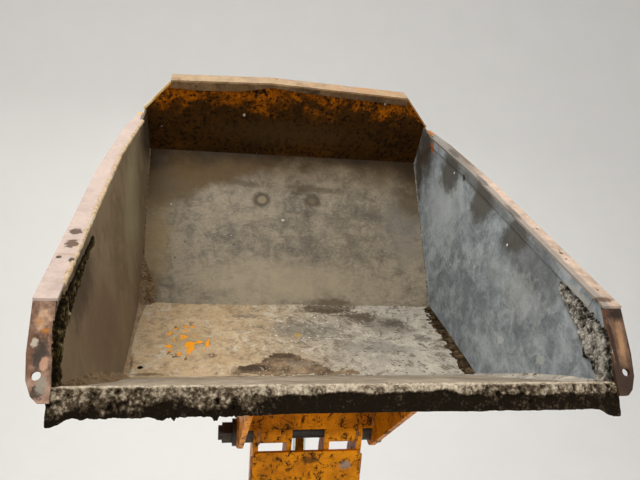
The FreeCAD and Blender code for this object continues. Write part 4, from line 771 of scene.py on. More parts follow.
# Dried mortar as skins that stand on the steel
def lumps(point, size, seed):
    """How high the mortar stands at a place, from 0 to about 1.2, in lumps of about a size in metres."""
    spot = Vector(point) / size + Vector((seed, seed * 0.7, seed * 1.3))
    big = noise.noise(spot, noise_basis="PERLIN_NEW") * 0.5 + 0.5
    cells = noise.voronoi(spot * 1.7)[0]
    rough = noise.fractal(spot * 3.1, 0.8, 2.1, 5) * 0.5
    return max(0.0, min(1.3, big * 0.8 + (0.55 - cells[0]) * 0.5 + rough * 0.35))


def sway(point, size, seed):
    """A smooth value from about -1 to 1 that changes over a size in metres."""
    return noise.fractal(Vector(point) / size + Vector((seed, -seed, seed * 0.4)), 0.7, 2.0, 4)


def crust(name, finish, rows, columns, place, buried=-0.0008):
    """A rough skin of mortar on the skip.

    place(u, v) gives a spot on the steel, the way out, the height there and its shade. Where all of a face lies
    deeper than buried, it is left out.
    """
    points, shades, outs, tall = [], [], [], []
    for row in range(rows + 1):
        for column in range(columns + 1):
            spot, out, height, shade = place(column / columns, row / rows)
            points.append(spot + out * height)
            shades.append(shade)
            outs.append(out)
            tall.append(height)
    faces = []
    for row in range(rows):
        for column in range(columns):
            corner = row * (columns + 1) + column
            face = (corner, corner + 1, corner + columns + 2, corner + columns + 1)
            if max(tall[i] for i in face) > buried:
                faces.append(face)
    if not faces:
        raise RuntimeError("No mortar stands on the steel for " + name)
    used = sorted({i for face in faces for i in face})
    number = {old: new for new, old in enumerate(used)}
    mesh = bpy.data.meshes.new(name)
    mesh.from_pydata([tuple(points[i]) for i in used], [], [tuple(number[i] for i in face) for face in faces])
    mesh.update()
    facing = sum(face.normal.dot(outs[used[face.vertices[0]]]) for face in mesh.polygons)
    if facing < 0:
        mesh.flip_normals()
    shade = mesh.attributes.new("shade", "FLOAT", "POINT")
    shade.data.foreach_set("value", [shades[i] for i in used])
    for face in mesh.polygons:
        face.use_smooth = True
    return settle(name, mesh, finish)


def settle(name, mesh, finish, body="skip"):
    """An object made of a mesh, with its finish, that rides on a body."""
    item = bpy.data.objects.new(name, mesh)
    bpy.context.scene.collection.objects.link(item)
    mesh.materials.clear()
    mesh.materials.append(MADE[finish])
    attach(item, body)
    return item


def between(stations, share):
    """The point at a share of the way along a row of points."""
    step = min(share * (len(stations) - 1), len(stations) - 1.0001)
    first = int(step)
    return [a + (b - a) * (step - first) for a, b in zip(stations[first], stations[first + 1])]


# The lip's crust: half its width, the depth of the bar under it, the drop of the bar's spiked ends and where along
# the bar they begin and end, the highest lump, and how deep mortar that isn't to show is sunk
CRUST_HALF = 0.4865
BAR_DEPTH = 0.0432
SPIKE_DROP = 0.013
SPIKE_SPAN = (0.4516, 0.4796)
HIGHEST_LUMP = 0.0115
SUNK = -0.0015


class SKIP_OT_lip_mortar(bpy.types.Operator):
    """Build the mortar that is caked along the lip, over its edge and down its front"""
    bl_idname = "skip.lip_mortar"
    bl_label = "Lip mortar"

    def execute(self, context):
        look = context.scene.skip_look
        edge_y, edge_z = LIP_EDGE
        under = edge_z - BAR_DEPTH
        # From the top of the lip over its edge and down the bar: place (y, z), the way out and the share of height
        path = [
            (*along(LIP_SLOPE, 0.080, LIP_EDGE), 0.00, 1.00, -0.10),
            (*along(LIP_SLOPE, 0.050, LIP_EDGE), 0.00, 1.00, 0.16),
            (*along(LIP_SLOPE, 0.025, LIP_EDGE), 0.00, 1.00, 0.22),
            (*along(LIP_SLOPE, 0.006, LIP_EDGE), -0.20, 1.00, 0.26),
            (edge_y, edge_z - 0.003, -0.75, 0.65, 0.50),
            (edge_y + 0.0004, edge_z - 0.010, -1.00, 0.15, 1.00),
            (edge_y + 0.0008, edge_z - 0.019, -1.00, 0.00, 1.00),
            (edge_y + 0.0012, edge_z - 0.028, -1.00, 0.00, 0.95),
            (edge_y + 0.0016, edge_z - 0.036, -1.00, -0.10, 0.85),
            (edge_y + 0.0020, edge_z - 0.042, -0.75, -0.65, 0.70),
            (edge_y + 0.0080, under, 0.00, -1.00, 0.60),
            (edge_y + 0.0180, under, 0.00, -1.00, 0.10),
        ]

        def place(u, v):
            x = -CRUST_HALF + 2 * CRUST_HALF * u
            y, z, out_y, out_z, share = between(path, v)
            # The bar's ends reach down to a spike
            z -= SPIKE_DROP * step_up(v, 0.55, 0.80) * step_up(abs(x), *SPIKE_SPAN)
            spot = Vector((x, y, z))
            # The left part is coarse, the middle is rubbed smooth and dark below, and the right lies between. The dark
            # below is partly dirt and partly painted shade under the lip's edge.
            left, right = step_up(x, -0.10, -0.18), step_up(x, 0.15, 0.24)
            middle = 1.0 - left - right
            low = step_up(v + 0.05 * sway(spot, 0.05, look.seed), 0.45 + 0.06 * right, 0.50 + 0.06 * right)
            rough = 0.45 * lumps(spot, 0.036, look.seed) + 0.55 * lumps(spot, 0.012, look.seed + 2)
            pit = step_up(noise.voronoi(spot / 0.017 + Vector((x * 3, 1.3, 0.2)))[0][0], 0.42, 0.16)
            pit *= step_up(sway(spot, 0.060, look.seed + 9), -0.25, 0.20) * (left + 0.7 * right)
            reach = left * 1.05 + right * (0.90 - 0.35 * low) + middle * (0.75 - 0.55 * low)
            crown = step_up(v, 0.40, 0.31)
            edge = step_up(v, 0.20, 0.28) * step_up(v, 0.58, 0.48)
            tall = ((rough - 0.55 * pit * (1 - crown)) * reach * share + 0.05 + 0.13 * edge) * look.lip_height
            drips = step_up(x, -0.34, -0.29) * step_up(x, -0.15, -0.18) * step_up(v, 0.72, 0.82)
            tall += drips * max(0.0, sway((x, 0, 0), 0.024, look.seed) + 0.2) * 0.011
            tall = min(tall, HIGHEST_LUMP)
            if v < 0.06:
                tall = SUNK
            foot = step_up(v + 0.12 * sway(spot, 0.05, look.seed + 5), 0.62, 0.76)
            # Painted shade with dirt low on the front and at the left foot, and painted shade in the hollows between
            # lumps and in the pits
            dark = (0.14 * step_up(v, 0.46, 0.60) + 0.42 * foot) * left + low * (0.80 * middle + 0.46 * right)
            grit = noise.fractal(spot / 0.007, 0.8, 2.1, 3)
            calm = 1.0 - low * (0.75 * middle + 0.45 * right)
            face = 0.44 + 0.26 * middle + 0.03 * right - dark
            face += (1.1 * (rough - 0.43) + 0.18 * grit) * calm - 0.5 * pit
            shade = crown * (0.82 + 0.40 * (rough - 0.45) + 0.12 * grit) + (1 - crown) * face
            shade -= step_up(v, 0.22, 0.06) * 0.30
            return spot, Vector((0.0, out_y, out_z)).normalized(), max(tall, SUNK), shade

        crust("lip_mortar", "mortar_lip", rows=84, columns=760, place=place, buried=SUNK + 0.0001)
        return {"FINISHED"}


# The crusts along the front of the side walls, as rows of (outer y, outer z, inner y, inner z) from the tip pin, and
# the y at which they end, short of the ears
LEFT_BAND = [(-0.262, 0.422, -0.258, 0.414), (-0.318, 0.378, -0.312, 0.367), (-0.390, 0.322, -0.377, 0.300),
             (-0.439, 0.283, -0.415, 0.262), (-0.495, 0.238, -0.455, 0.219), (-0.514, 0.205, -0.482, 0.180),
             (-0.520, 0.165, -0.492, 0.146), (-0.524, 0.110, -0.496, 0.108)]
RIGHT_BAND = [(-0.372, 0.322, -0.370, 0.310), (-0.395, 0.303, -0.390, 0.276), (-0.437, 0.270, -0.413, 0.238),
              (-0.474, 0.235, -0.438, 0.204), (-0.506, 0.205, -0.450, 0.165), (-0.519, 0.165, -0.474, 0.135),
              (-0.524, 0.110, -0.484, 0.108)]
BAND_END = -0.524


class SKIP_OT_wall_mortar(bpy.types.Operator):
    """Build the crusts along the front of both side walls, where the load runs out"""
    bl_idname = "skip.wall_mortar"
    bl_label = "Wall mortar"

    def execute(self, context):
        look = context.scene.skip_look
        for side, sign, band, finish in (("left", -1, LEFT_BAND, "mortar_dark_and_painted_shade"),
                                         ("right", 1, RIGHT_BAND, "mortar_grey")):
            def place(u, v, sign=sign, band=band):
                outer_y, outer_z, inner_y, inner_z = between(band, u)
                across = -0.25 + 1.5 * v
                y = max(outer_y + (inner_y - outer_y) * across, BAND_END)
                z = outer_z + (inner_z - outer_z) * across
                spot = Vector(rel(sign * wall_half(PIVOT[0] + y, PIVOT[1] + z), y, z))
                jag = across + 0.16 * sway(spot, 0.018, look.seed)
                window = step_up(jag, -0.08, 0.12) * step_up(jag, 1.08, 0.88) * step_up(u, 0.0, 0.06)
                rough = lumps(spot, 0.026, look.seed + 5 * sign)
                rough = 0.6 * rough + 0.4 * lumps(spot, 0.011, look.seed + 8)
                tall = (0.25 + rough) * window * look.wall_height - 0.0012
                # Painted shade along the crust's edges and in the hollows between lumps
                edge = 4.0 * window * (1.0 - window)
                grit = noise.fractal(spot / 0.006, 0.8, 2.1, 3)
                shade = (0.30 if sign < 0 else 0.55) + 1.5 * (rough - 0.45) + 0.25 * grit - 0.45 * edge
                return spot, Vector((-sign, 0.0, 0.0)), tall, shade

            crust("wall_mortar_" + side, finish, rows=56, columns=200, place=place)
        return {"FINISHED"}


# Mortar rougher than this, in millimetres, also gets ragged edges and small lumps
COARSE_MM = 2.2
# The mortar in the inside corners of each side: where it is, its finish, its reaches on the wall and on the floor
# along the corner, its roughness in millimetres, its shade and how much the shade drops towards the corner's end
CORNER_MORTAR = {
    "left": [
        ("floor", "mortar_tan", [(0.010, 0.022), (0.008, 0.014), (0.008, 0.012), (0.012, 0.020), (0.018, 0.030)],
         3, 0.60, 0.0),
        ("back", "mortar_tan", [(0.024, 0.058), (0.018, 0.044), (0.006, 0.008)] + [(0.004, 0.005)] * 5,
         1.6, 0.26, 0.0),
        ("lip", "mortar_tan", [(0.014, 0.026), (0.020, 0.034), (0.024, 0.048), (0.014, 0.028), (0.004, 0.010)],
         2, 0.42, 0.30)],
    "right": [
        ("floor", "mortar_brown", [(0.012, 0.062), (0.012, 0.052), (0.012, 0.050), (0.012, 0.056), (0.010, 0.048)],
         8, 0.34, 0.0),
        ("back", "mortar_grey", [(0.008, 0.010)] + [(0.004, 0.004)] * 5,
         1.6, 0.48, 0.0),
        ("lip", "mortar_film", [(0.006, 0.014), (0.010, 0.020), (0.014, 0.030), (0.012, 0.024), (0.004, 0.010)],
         2, 0.30, 0.0)],
}


def fillet(name, finish, ends, wall_point, floor_point, reaches, rough_mm, shade, seed, steps=(26, 200), fade=0.0):
    """Mortar packed into a corner between two sheets.

    ends are the corner line's ends. wall_point and floor_point lie on the two sheets away from it. reaches are rows
    of (reach on the wall, reach on the floor) along the line. The shade drops by fade towards the line's end.
    """
    start, end = Vector(ends[0]), Vector(ends[1])
    line = (end - start).normalized()
    ways = []
    for point in (wall_point, floor_point):
        way = Vector(point) - start
        ways.append((way - line * way.dot(line)).normalized())
    out = (ways[0] + ways[1]).normalized()
    ragged, size = (1.0, 0.030) if rough_mm > COARSE_MM else (0.2, 0.090)

    def place(u, v):
        corner = start.lerp(end, u)
        wall_reach, floor_reach = between(reaches, u)
        wall_reach *= 1.0 + 0.15 * ragged * sway(corner, 0.090, seed)
        floor_reach *= 1.0 + 0.22 * ragged * sway(corner, 0.060, seed + 3)
        on_wall, on_floor = corner + ways[0] * wall_reach, corner + ways[1] * floor_reach
        middle = corner + (ways[0] * wall_reach + ways[1] * floor_reach) * 0.16
        spot = on_wall.lerp(middle, v).lerp(middle.lerp(on_floor, v), v)
        bulge = math.sin(math.pi * v)
        rough = lumps(spot, size, seed)
        tall = (rough - 0.45) * bulge * rough_mm / 1000 - 0.0016 * (1.0 - bulge)
        return spot, out, tall, shade - fade * u + 0.12 * rough_mm * (rough - 0.5)

    crust(name, finish, rows=steps[0], columns=steps[1], place=place, buried=-0.01)


class SKIP_OT_corner_mortar(bpy.types.Operator):
    """Pack the inside corners of the skip with old mortar"""
    bl_idname = "skip.corner_mortar"
    bl_label = "Corner mortar"

    def execute(self, context):
        seed = context.scene.skip_look.seed
        lip_half = wall_half(*LIP_EDGE)
        low_middle, mid_middle = (0.0, *CREASE_LOW), (0.0, *CREASE_MID)
        for side, sign in (("left", -1), ("right", 1)):
            low, mid = (sign * LOW_HALF, *CREASE_LOW), (sign * MID_HALF, *CREASE_MID)
            top = (sign * TOP_HALF, *CREASE_TOP)
            fold, front = (sign * FOLD_HALF, *RIM_FOLD), (sign * FRONT_HALF, *RIM_FRONT)
            # The corner line's ends, a place on its wall, one on its floor, and the shift of its pattern
            corners = {
                "floor": ((low, mid), fold, low_middle, 0),
                "back": ((mid, top), fold, mid_middle, 11),
                "lip": ((low, (sign * lip_half, *LIP_EDGE)), front, low_middle, 23),
            }
            for where, finish, reaches, rough_mm, shade, fade in CORNER_MORTAR[side]:
                ends, wall_point, floor_point, shift = corners[where]
                fillet("corner_%s_%s" % (where, side), finish, ends, wall_point, floor_point, reaches, rough_mm,
                       shade, seed + shift, fade=fade)
        left_low, left_mid = (-LOW_HALF, *CREASE_LOW), (-MID_HALF, *CREASE_MID)
        fillet("crease_back", "mortar_film", (left_mid, (MID_HALF, *CREASE_MID)), (-MID_HALF, *CREASE_TOP), left_low,
               [(0.016, 0.024), (0.010, 0.014), (0.008, 0.012), (0.012, 0.018), (0.010, 0.014), (0.012, 0.020),
                (0.010, 0.014)], 4, 0.42, seed + 31, (16, 360))
        fillet("crease_lip", "mortar_film", (left_low, (LOW_HALF, *CREASE_LOW)), left_mid, (-lip_half, *LIP_EDGE),
               [(0.014, 0.030), (0.004, 0.030), (0.003, 0.022), (0.006, 0.026), (0.010, 0.030)],
               2.5, 0.32, seed + 37, (16, 360))
        return {"FINISHED"}


# The bare patch of the floor, and the flakes of old enamel in it, as (x, y) from the tip pin and, for a flake, its
# half width and half length
BARE_PATCH = [(-0.186, 0.004), (-0.167, 0.031), (-0.126, 0.049), (-0.104, 0.065), (-0.066, 0.091), (-0.016, 0.084),
              (-0.001, 0.065), (0.023, 0.065), (0.042, 0.041), (0.071, 0.021), (0.126, 0.025), (0.140, 0.004)]
FLAKES = [(-0.292, 0.122, 0.015, 0.019), (-0.270, 0.140, 0.011, 0.010), (-0.293, 0.098, 0.007, 0.014),
          (-0.345, 0.126, 0.007, 0.012), (-0.313, 0.162, 0.007, 0.014), (-0.346, 0.182, 0.005, 0.018),
          (-0.338, 0.210, 0.005, 0.009), (-0.311, 0.216, 0.006, 0.009), (-0.289, 0.224, 0.006, 0.012),
          (-0.300, 0.192, 0.004, 0.009), (-0.322, 0.084, 0.007, 0.010), (-0.341, 0.096, 0.004, 0.008),
          (-0.236, 0.081, 0.008, 0.011), (-0.246, 0.140, 0.006, 0.020), (-0.330, 0.150, 0.003, 0.007),
          (-0.280, 0.168, 0.003, 0.007), (-0.260, 0.106, 0.003, 0.006), (-0.302, 0.070, 0.003, 0.006)]
# The radius of the hole that the drain keeps open in the film, and how far it sits up the floor from the drain
HOLE_RADIUS, HOLE_SHIFT = 0.0075, 0.002
# Half the width of the film's broken edge, and how deep the film is sunk where the floor is bare
FILM_EDGE = 0.0012


def depth_in(outline, x, y):
    """How far a point lies inside an outline, below 0 when it is outside."""
    inside, nearest = False, 9.0
    for (ax, ay), (bx, by) in zip(outline, outline[1:] + outline[:1]):
        if (ay > y) != (by > y) and x < ax + (y - ay) * (bx - ax) / (by - ay):
            inside = not inside
        run_x, run_y = bx - ax, by - ay
        share = min(1.0, max(0.0, ((x - ax) * run_x + (y - ay) * run_y) / (run_x * run_x + run_y * run_y)))
        nearest = min(nearest, math.hypot(x - ax - share * run_x, y - ay - share * run_y))
    return nearest if inside else -nearest


class SKIP_OT_floor_mortar(bpy.types.Operator):
    """Spread the hard film of mortar over the floor, broken at the bare patch and round the flakes"""
    bl_idname = "skip.floor_mortar"
    bl_label = "Floor mortar"

    def execute(self, context):
        look = context.scene.skip_look
        slope = math.radians(FLOOR_SLOPE)
        out = Vector((0.0, -math.sin(slope), math.cos(slope)))

        def place(u, v):
            x = (-1 + 2 * u) * (LOW_HALF + (MID_HALF - LOW_HALF) * v)
            y, z = along(FLOOR_SLOPE, FLOOR_LENGTH * v, CREASE_LOW)
            spot = Vector((x, y, z))
            jag_x, jag_y = sway(spot, 0.020, look.seed), sway(spot, 0.024, look.seed + 4)
            near_x, near_y = x + 0.011 * jag_x, y - PIVOT[0] + 0.010 * jag_y
            bare = depth_in(BARE_PATCH, near_x, near_y)
            for flake_x, flake_y, wide, long in FLAKES:
                away = math.hypot((near_x - flake_x) / wide, (near_y - flake_y) / long)
                bare = max(bare, (1.0 - away) * wide)
            hole = math.hypot(x - DRAIN_HOLE[0], y - PIVOT[0] - DRAIN_HOLE[1] - HOLE_SHIFT)
            bare = max(bare, HOLE_RADIUS - hole)
            swell = lumps(spot, 0.070, look.seed + 2)
            film = look.film_height * (0.55 + 0.9 * swell)
            tall = film - (film + FILM_EDGE) * step_up(bare, -FILM_EDGE, FILM_EDGE)
            shade = 0.53 + 0.5 * (swell - 0.5) + 0.10 * jag_x
            return spot, out, tall, shade

        crust("floor_mortar", "mortar_film", rows=150, columns=330, place=place)
        return {"FINISHED"}


# Geometry Nodes for beads that follow a path and crumbs that lie about
def bead_tree():
    """A tree that runs a rippled bead along a path of edges."""
    tree, (path, radius, ripple, depth, step, finish) = new_group(
        "Rippled bead",
        [("Path", "Geometry"), ("Radius", "Float", 0.004), ("Ripple", "Float", 0.004), ("Depth", "Float", 0.001),
         ("Step", "Float", 0.003), ("Finish", "Material")],
        [("Geometry", "Geometry")], "GeometryNodeTree")
    curve = add(tree, "GeometryNodeMeshToCurve", {0: path})
    curve = add(tree, "GeometryNodeResampleCurve", {"Curve": curve, "Length": step}, mode="LENGTH")
    ring = add(tree, "GeometryNodeCurvePrimitiveCircle", {"Resolution": 8, "Radius": radius})
    bead = add(tree, "GeometryNodeCurveToMesh", {"Curve": curve, "Profile Curve": ring, "Fill Caps": True})
    scale = add(tree, "ShaderNodeMath", {0: 1.0, 1: ripple}, operation="DIVIDE")
    waves = add(tree, "ShaderNodeTexNoise", {"Vector": add(tree, "GeometryNodeInputPosition"), "Scale": scale,
                                             "Detail": 2.0})
    waves = add(tree, "ShaderNodeMath", {0: waves, 1: 0.5}, operation="SUBTRACT")
    # The pattern swings by about a quarter to each side, so that four times it is the depth
    most = add(tree, "ShaderNodeMath", {0: depth, 1: 4.0}, operation="MULTIPLY")
    push = add(tree, "ShaderNodeMath", {0: waves, 1: most}, operation="MULTIPLY")
    offset = add(tree, "ShaderNodeVectorMath", {0: add(tree, "GeometryNodeInputNormal"), "Scale": push},
                 operation="SCALE")
    bead = add(tree, "GeometryNodeSetPosition", {"Geometry": bead, "Offset": offset})
    bead = add(tree, "GeometryNodeSetShadeSmooth", {0: bead, "Shade Smooth": True})
    bead = add(tree, "GeometryNodeRealizeInstances", {0: bead})
    bead = add(tree, "GeometryNodeSetMaterial", {"Geometry": bead, "Material": finish})
    add(tree, "NodeGroupOutput", {0: bead})
    return tree


def crumb_tree():
    """A tree that strews small angular crumbs over a surface."""
    tree, (ground, density, smallest, largest, seed, finish) = new_group(
        "Strewn crumbs",
        [("Ground", "Geometry"), ("Density", "Float", 500.0), ("Smallest", "Float", 0.001),
         ("Largest", "Float", 0.003), ("Seed", "Int", 1), ("Finish", "Material")],
        [("Geometry", "Geometry")], "GeometryNodeTree")
    points = add(tree, "GeometryNodeDistributePointsOnFaces", {"Mesh": ground, "Density": density, "Seed": seed})
    stone = add(tree, "GeometryNodeMeshIcoSphere", {"Radius": 1.0, "Subdivisions": 1})
    turn = add(tree, "FunctionNodeRandomValue", {0: (0.0, 0.0, 0.0), 1: (6.283, 6.283, 6.283), "Seed": seed},
               data_type="FLOAT_VECTOR")
    size = add(tree, "FunctionNodeRandomValue", {2: smallest, 3: largest, "Seed": seed}, data_type="FLOAT")
    shape = add(tree, "FunctionNodeRandomValue", {0: (0.6, 0.5, 0.3), 1: (1.3, 1.0, 0.7), "Seed": seed},
                data_type="FLOAT_VECTOR")
    scale = add(tree, "ShaderNodeVectorMath", {0: shape, "Scale": size}, operation="SCALE")
    laid = add(tree, "GeometryNodeInstanceOnPoints",
               {"Points": points, "Instance": stone, "Rotation": turn, "Scale": scale})
    laid = add(tree, "GeometryNodeRealizeInstances", {0: laid})
    laid = add(tree, "GeometryNodeSetMaterial", {"Geometry": laid, "Material": finish})
    add(tree, "NodeGroupOutput", {0: laid})
    return tree


def grow(name, tree, points, edges, faces, values, finish, body="skip"):
    """Run a tree on a small mesh, with its inputs set by name, and keep the result as a plain piece on a body."""
    mesh = bpy.data.meshes.new(name + "_path")
    mesh.from_pydata([tuple(point) for point in points], edges, faces)
    mesh.update()
    ground = bpy.data.objects.new(name + "_path", mesh)
    bpy.context.scene.collection.objects.link(ground)
    modifier = ground.modifiers.new("Grow", "NODES")
    modifier.node_group = tree
    sockets = {item.name: item.identifier for item in tree.interface.items_tree
               if item.item_type == "SOCKET" and item.in_out == "INPUT"}
    for label, value in values.items():
        modifier[sockets[label]] = value
    modifier[sockets["Finish"]] = MADE[finish]
    graph = bpy.context.evaluated_depsgraph_get()
    grown = bpy.data.meshes.new_from_object(ground.evaluated_get(graph))
    if not grown.vertices:
        raise RuntimeError("The tree made nothing for " + name)
    ground.modifiers.remove(modifier)
    bpy.data.objects.remove(ground)
    if finish.startswith("mortar"):
        # Each crumb has 12 points and its own shade out of nine
        shade = grown.attributes.new("shade", "FLOAT", "POINT")
        shade.data.foreach_set("value", [0.34 + 0.06 * (i // 12 * 7 % 9) for i in range(len(grown.vertices))])
    grown.name = name
    return settle(name, grown, finish, body)


def path_mesh(lines):
    """Points and edges of a few polylines."""
    points, edges = [], []
    for line in lines:
        edges += [(len(points) + i, len(points) + i + 1) for i in range(len(line) - 1)]
        points += line
    return points, edges


def ring_line(centre, radius, count=40):
    """A closed round path in the side view's plane about a place."""
    x, y, z = centre
    turns = [2 * math.pi * i / count for i in range(count + 1)]
    return [(x, y + radius * math.cos(t), z + radius * math.sin(t)) for t in turns]


# How far from the middle the welds of the carrier and the arm run: up the gussets' front ends, along the gussets under
# the skip, round the tip pin outside the gussets, round the arm head's bosses and down the arm's side plates
GUSSET_FRONT, GUSSET_SIDE, PIN_SIDE, BOSS_SIDE, ARM_SIDE = 0.155, 0.169, 0.1685, 0.1195, 0.1325
PIN_WELD_RADIUS, BOSS_WELD_RADIUS = 0.0325, 0.0275


class SKIP_OT_welds(bpy.types.Operator):
    """Run the weld beads along the joints of the skip, its carrier and the lift arm"""
    bl_idname = "skip.welds"
    bl_label = "Welds"

    def execute(self, context):
        look = context.scene.skip_look
        tree = bead_tree()
        skip_lines, carrier_lines, arm_lines = [], [], []
        low_under = along(LIP_SLOPE - 90, SHEET, CREASE_LOW)
        lip_under = along(LIP_SLOPE - 90, SHEET, LIP_EDGE)
        for sign in (-1, 1):
            # The skip's outside corners, and the joint under its rim
            skip_lines += [
                [(sign * (LOW_HALF + SHEET), *along(FLOOR_SLOPE - 90, SHEET * 0.5, CREASE_LOW)),
                 (sign * (MID_HALF + SHEET), *along(FLOOR_SLOPE - 90, SHEET * 0.5, CREASE_MID))],
                [(sign * (MID_HALF + SHEET), *along(BACK_SLOPE - 90, SHEET * 0.5, CREASE_MID)),
                 (sign * (TOP_HALF + SHEET), *along(BACK_SLOPE - 90, SHEET * 0.5, CREASE_TOP))],
                [(sign * (FRONT_HALF + SHEET), *along(RIM_SLOPE, 0.012, RIM_FRONT)),
                 (sign * (FOLD_HALF + SHEET), *RIM_FOLD)],
                [(sign * (LOW_HALF + SHEET), *low_under),
                 (sign * (wall_half(*LIP_EDGE) + SHEET), *along(LIP_SLOPE, 0.03, lip_under))]]
            # The gussets on the front beam, under the lip and under the floor, and the ring round the tip pin
            carrier_lines += [
                [rel(sign * GUSSET_FRONT, -0.049, 0.009), rel(sign * GUSSET_FRONT, -0.049, 0.116)],
                [(sign * GUSSET_SIDE, *low_under), (sign * GUSSET_SIDE, *along(180 + LIP_SLOPE, 0.455, low_under))],
                [(sign * GUSSET_SIDE, *along(FLOOR_SLOPE - 90, SHEET, along(FLOOR_SLOPE, reach, CREASE_LOW)))
                 for reach in (0.0, 0.30)],
                ring_line(rel(sign * PIN_SIDE, 0, 0), PIN_WELD_RADIUS)]
            # The arm's front plate on its side plates, and its bosses
            arm_lines += [
                [rel(sign * ARM_SIDE, -0.0005, -0.0575), rel(sign * ARM_SIDE, 0.344, -0.7075)],
                ring_line(rel(sign * BOSS_SIDE, 0, 0), BOSS_WELD_RADIUS)]
        carrier_lines.append([rel(-0.152, -0.0485, 0.121), rel(0.152, -0.0485, 0.121)])
        rim_line = [rel(-0.4885, -0.470, 0.277), rel(-0.4885, -0.30, 0.420), rel(-0.4860, 0.029, 0.6975),
                    rel(-0.4640, 0.267, 0.8990)]
        weld = {"Radius": look.weld_radius, "Ripple": 0.006, "Depth": 0.0007, "Step": 0.0028}
        bead = {"Radius": look.bead_radius, "Ripple": 0.011, "Depth": 0.0022, "Step": 0.0035}
        for name, lines, sizes, finish, slot, body in (
                ("skip_welds", skip_lines, weld, "weld_steel_bare", "skip_steel", "skip"),
                ("carrier_welds", carrier_lines, weld, "weld_steel_painted", "carrier_paint", "skip"),
                ("arm_welds", arm_lines, weld, "weld_steel_painted", "carrier_paint", "arm"),
                ("rim_mortar_bead", [rim_line], bead, "mortar_film", "skip_steel", "skip")):
            points, edges = path_mesh(lines)
            grow(name, tree, points, edges, [], sizes, finish, body)
        return {"FINISHED"}


# Where crumbs lie. Each bed has its name, finish, slope and start in the side view, its corners as (x, reach up the
# slope), how many crumbs lie on a square metre and the radii of the smallest and the largest
CRUMB_BEDS = [
    ("floor_crumbs", "mortar_film", FLOOR_SLOPE, CREASE_LOW,
     [(-0.42, 0.02), (0.40, 0.02), (0.42, 0.37), (-0.43, 0.37)], 500.0, 0.0012, 0.0035),
    ("patch_crumbs", "mortar_film", FLOOR_SLOPE, CREASE_LOW,
     [(-0.15, 0.004), (0.12, 0.004), (0.02, 0.08), (-0.08, 0.09)], 5000.0, 0.0010, 0.0034),
    ("corner_crumbs", "mortar_grey", FLOOR_SLOPE, CREASE_LOW,
     [(0.36, 0.01), (0.43, 0.01), (0.44, 0.30), (0.40, 0.30)], 3500.0, 0.0015, 0.0055),
    ("lip_crumbs", "mortar_grey", LIP_SLOPE, LIP_EDGE,
     [(-0.46, 0.01), (0.47, 0.01), (0.47, 0.09), (-0.46, 0.09)], 900.0, 0.0010, 0.0030),
]


class SKIP_OT_crumbs(bpy.types.Operator):
    """Strew crumbs of mortar and pale chips over the floor and the lip"""
    bl_idname = "skip.crumbs"
    bl_label = "Crumbs"

    def execute(self, context):
        seed = context.scene.skip_look.seed
        tree = crumb_tree()
        for number, (name, finish, slope, start, corners, density, smallest, largest) in enumerate(CRUMB_BEDS):
            points = [(x, *along(slope, reach, start)) for x, reach in corners]
            grow(name, tree, points, [], [(0, 1, 2, 3)],
                 {"Density": density, "Smallest": smallest, "Largest": largest, "Seed": seed + number}, finish)
        return {"FINISHED"}


# The strip that closes the guard up to its dented rim: the guard's end from the tip pin, half the strip's width, half
# its thickness, how far it laps over the guard, and how far the rim stands off the guard at three places
GUARD_END = (0.26515, 1.03205)
SEAM_HALF, SEAM_SKIN, SEAM_LAP = 0.385, 0.0029, 0.006
RIM_RISES = [(-0.385, 0.0065), (-0.067, 0.0195), (0.385, 0.0025)]


class SKIP_OT_rim_seam(bpy.types.Operator):
    """Close the guard up to the dented top rim with the sheet that was drawn up with it"""
    bl_idname = "skip.rim_seam"
    bl_label = "Rim seam"

    def execute(self, context):
        seed = context.scene.skip_look.seed
        end = rel(0.0, *GUARD_END)[1:]
        points, faces, count = [], [], 80
        for number in range(count + 1):
            x = -SEAM_HALF + 2 * SEAM_HALF * number / count
            (low_x, low), (high_x, high) = RIM_RISES[:2] if x < RIM_RISES[1][0] else RIM_RISES[1:]
            rise = low + (high - low) * (x - low_x) / (high_x - low_x)
            bent = 0.0007 * sway((x, 0.0, 0.0), 0.05, seed)
            for reach, side in ((-SEAM_LAP, SEAM_SKIN), (rise, SEAM_SKIN),
                                (rise, -SEAM_SKIN), (-SEAM_LAP, -SEAM_SKIN)):
                points.append((x, *along(GUARD_SLOPE - 90, side + bent, along(GUARD_SLOPE, reach, end))))
        for corner in range(0, 4 * count, 4):
            faces += [(corner + i, corner + (i + 1) % 4, corner + 4 + (i + 1) % 4, corner + 4 + i) for i in range(4)]
        faces += [(3, 2, 1, 0), tuple(4 * count + i for i in range(4))]
        mesh = bpy.data.meshes.new("rim_seam")
        mesh.from_pydata(points, [], faces)
        mesh.update()
        top = max(mesh.polygons, key=lambda face: face.center.z)
        if top.normal.z < 0:
            mesh.flip_normals()
        settle("rim_seam", mesh, "guard_burnt_enamel_and_painted_shade", "skip")
        return {"FINISHED"}


# The camera's place, its turns about Z, X and Y in degrees, and its lens and sensor in millimetres
CAMERA_PLACE = (-0.2435, -1.96405, 0.8605)
CAMERA_TURNS = (-10.136, 13.1, 0.517)
CAMERA_LENS, CAMERA_SENSOR = 34.875, 36.0


def soft_light(name, at, aim, size, watts, code):
    """A square soft box at a place, aimed at another, with a hex colour."""
    data = bpy.data.lights.new(name, "AREA")
    data.size = size
    data.energy = watts
    data.color = paint(code)[:3]
    light = bpy.data.objects.new(name, data)
    bpy.context.scene.collection.objects.link(light)
    light.location = at
    light.rotation_euler = (Vector(aim) - Vector(at)).to_track_quat("-Z", "Y").to_euler()


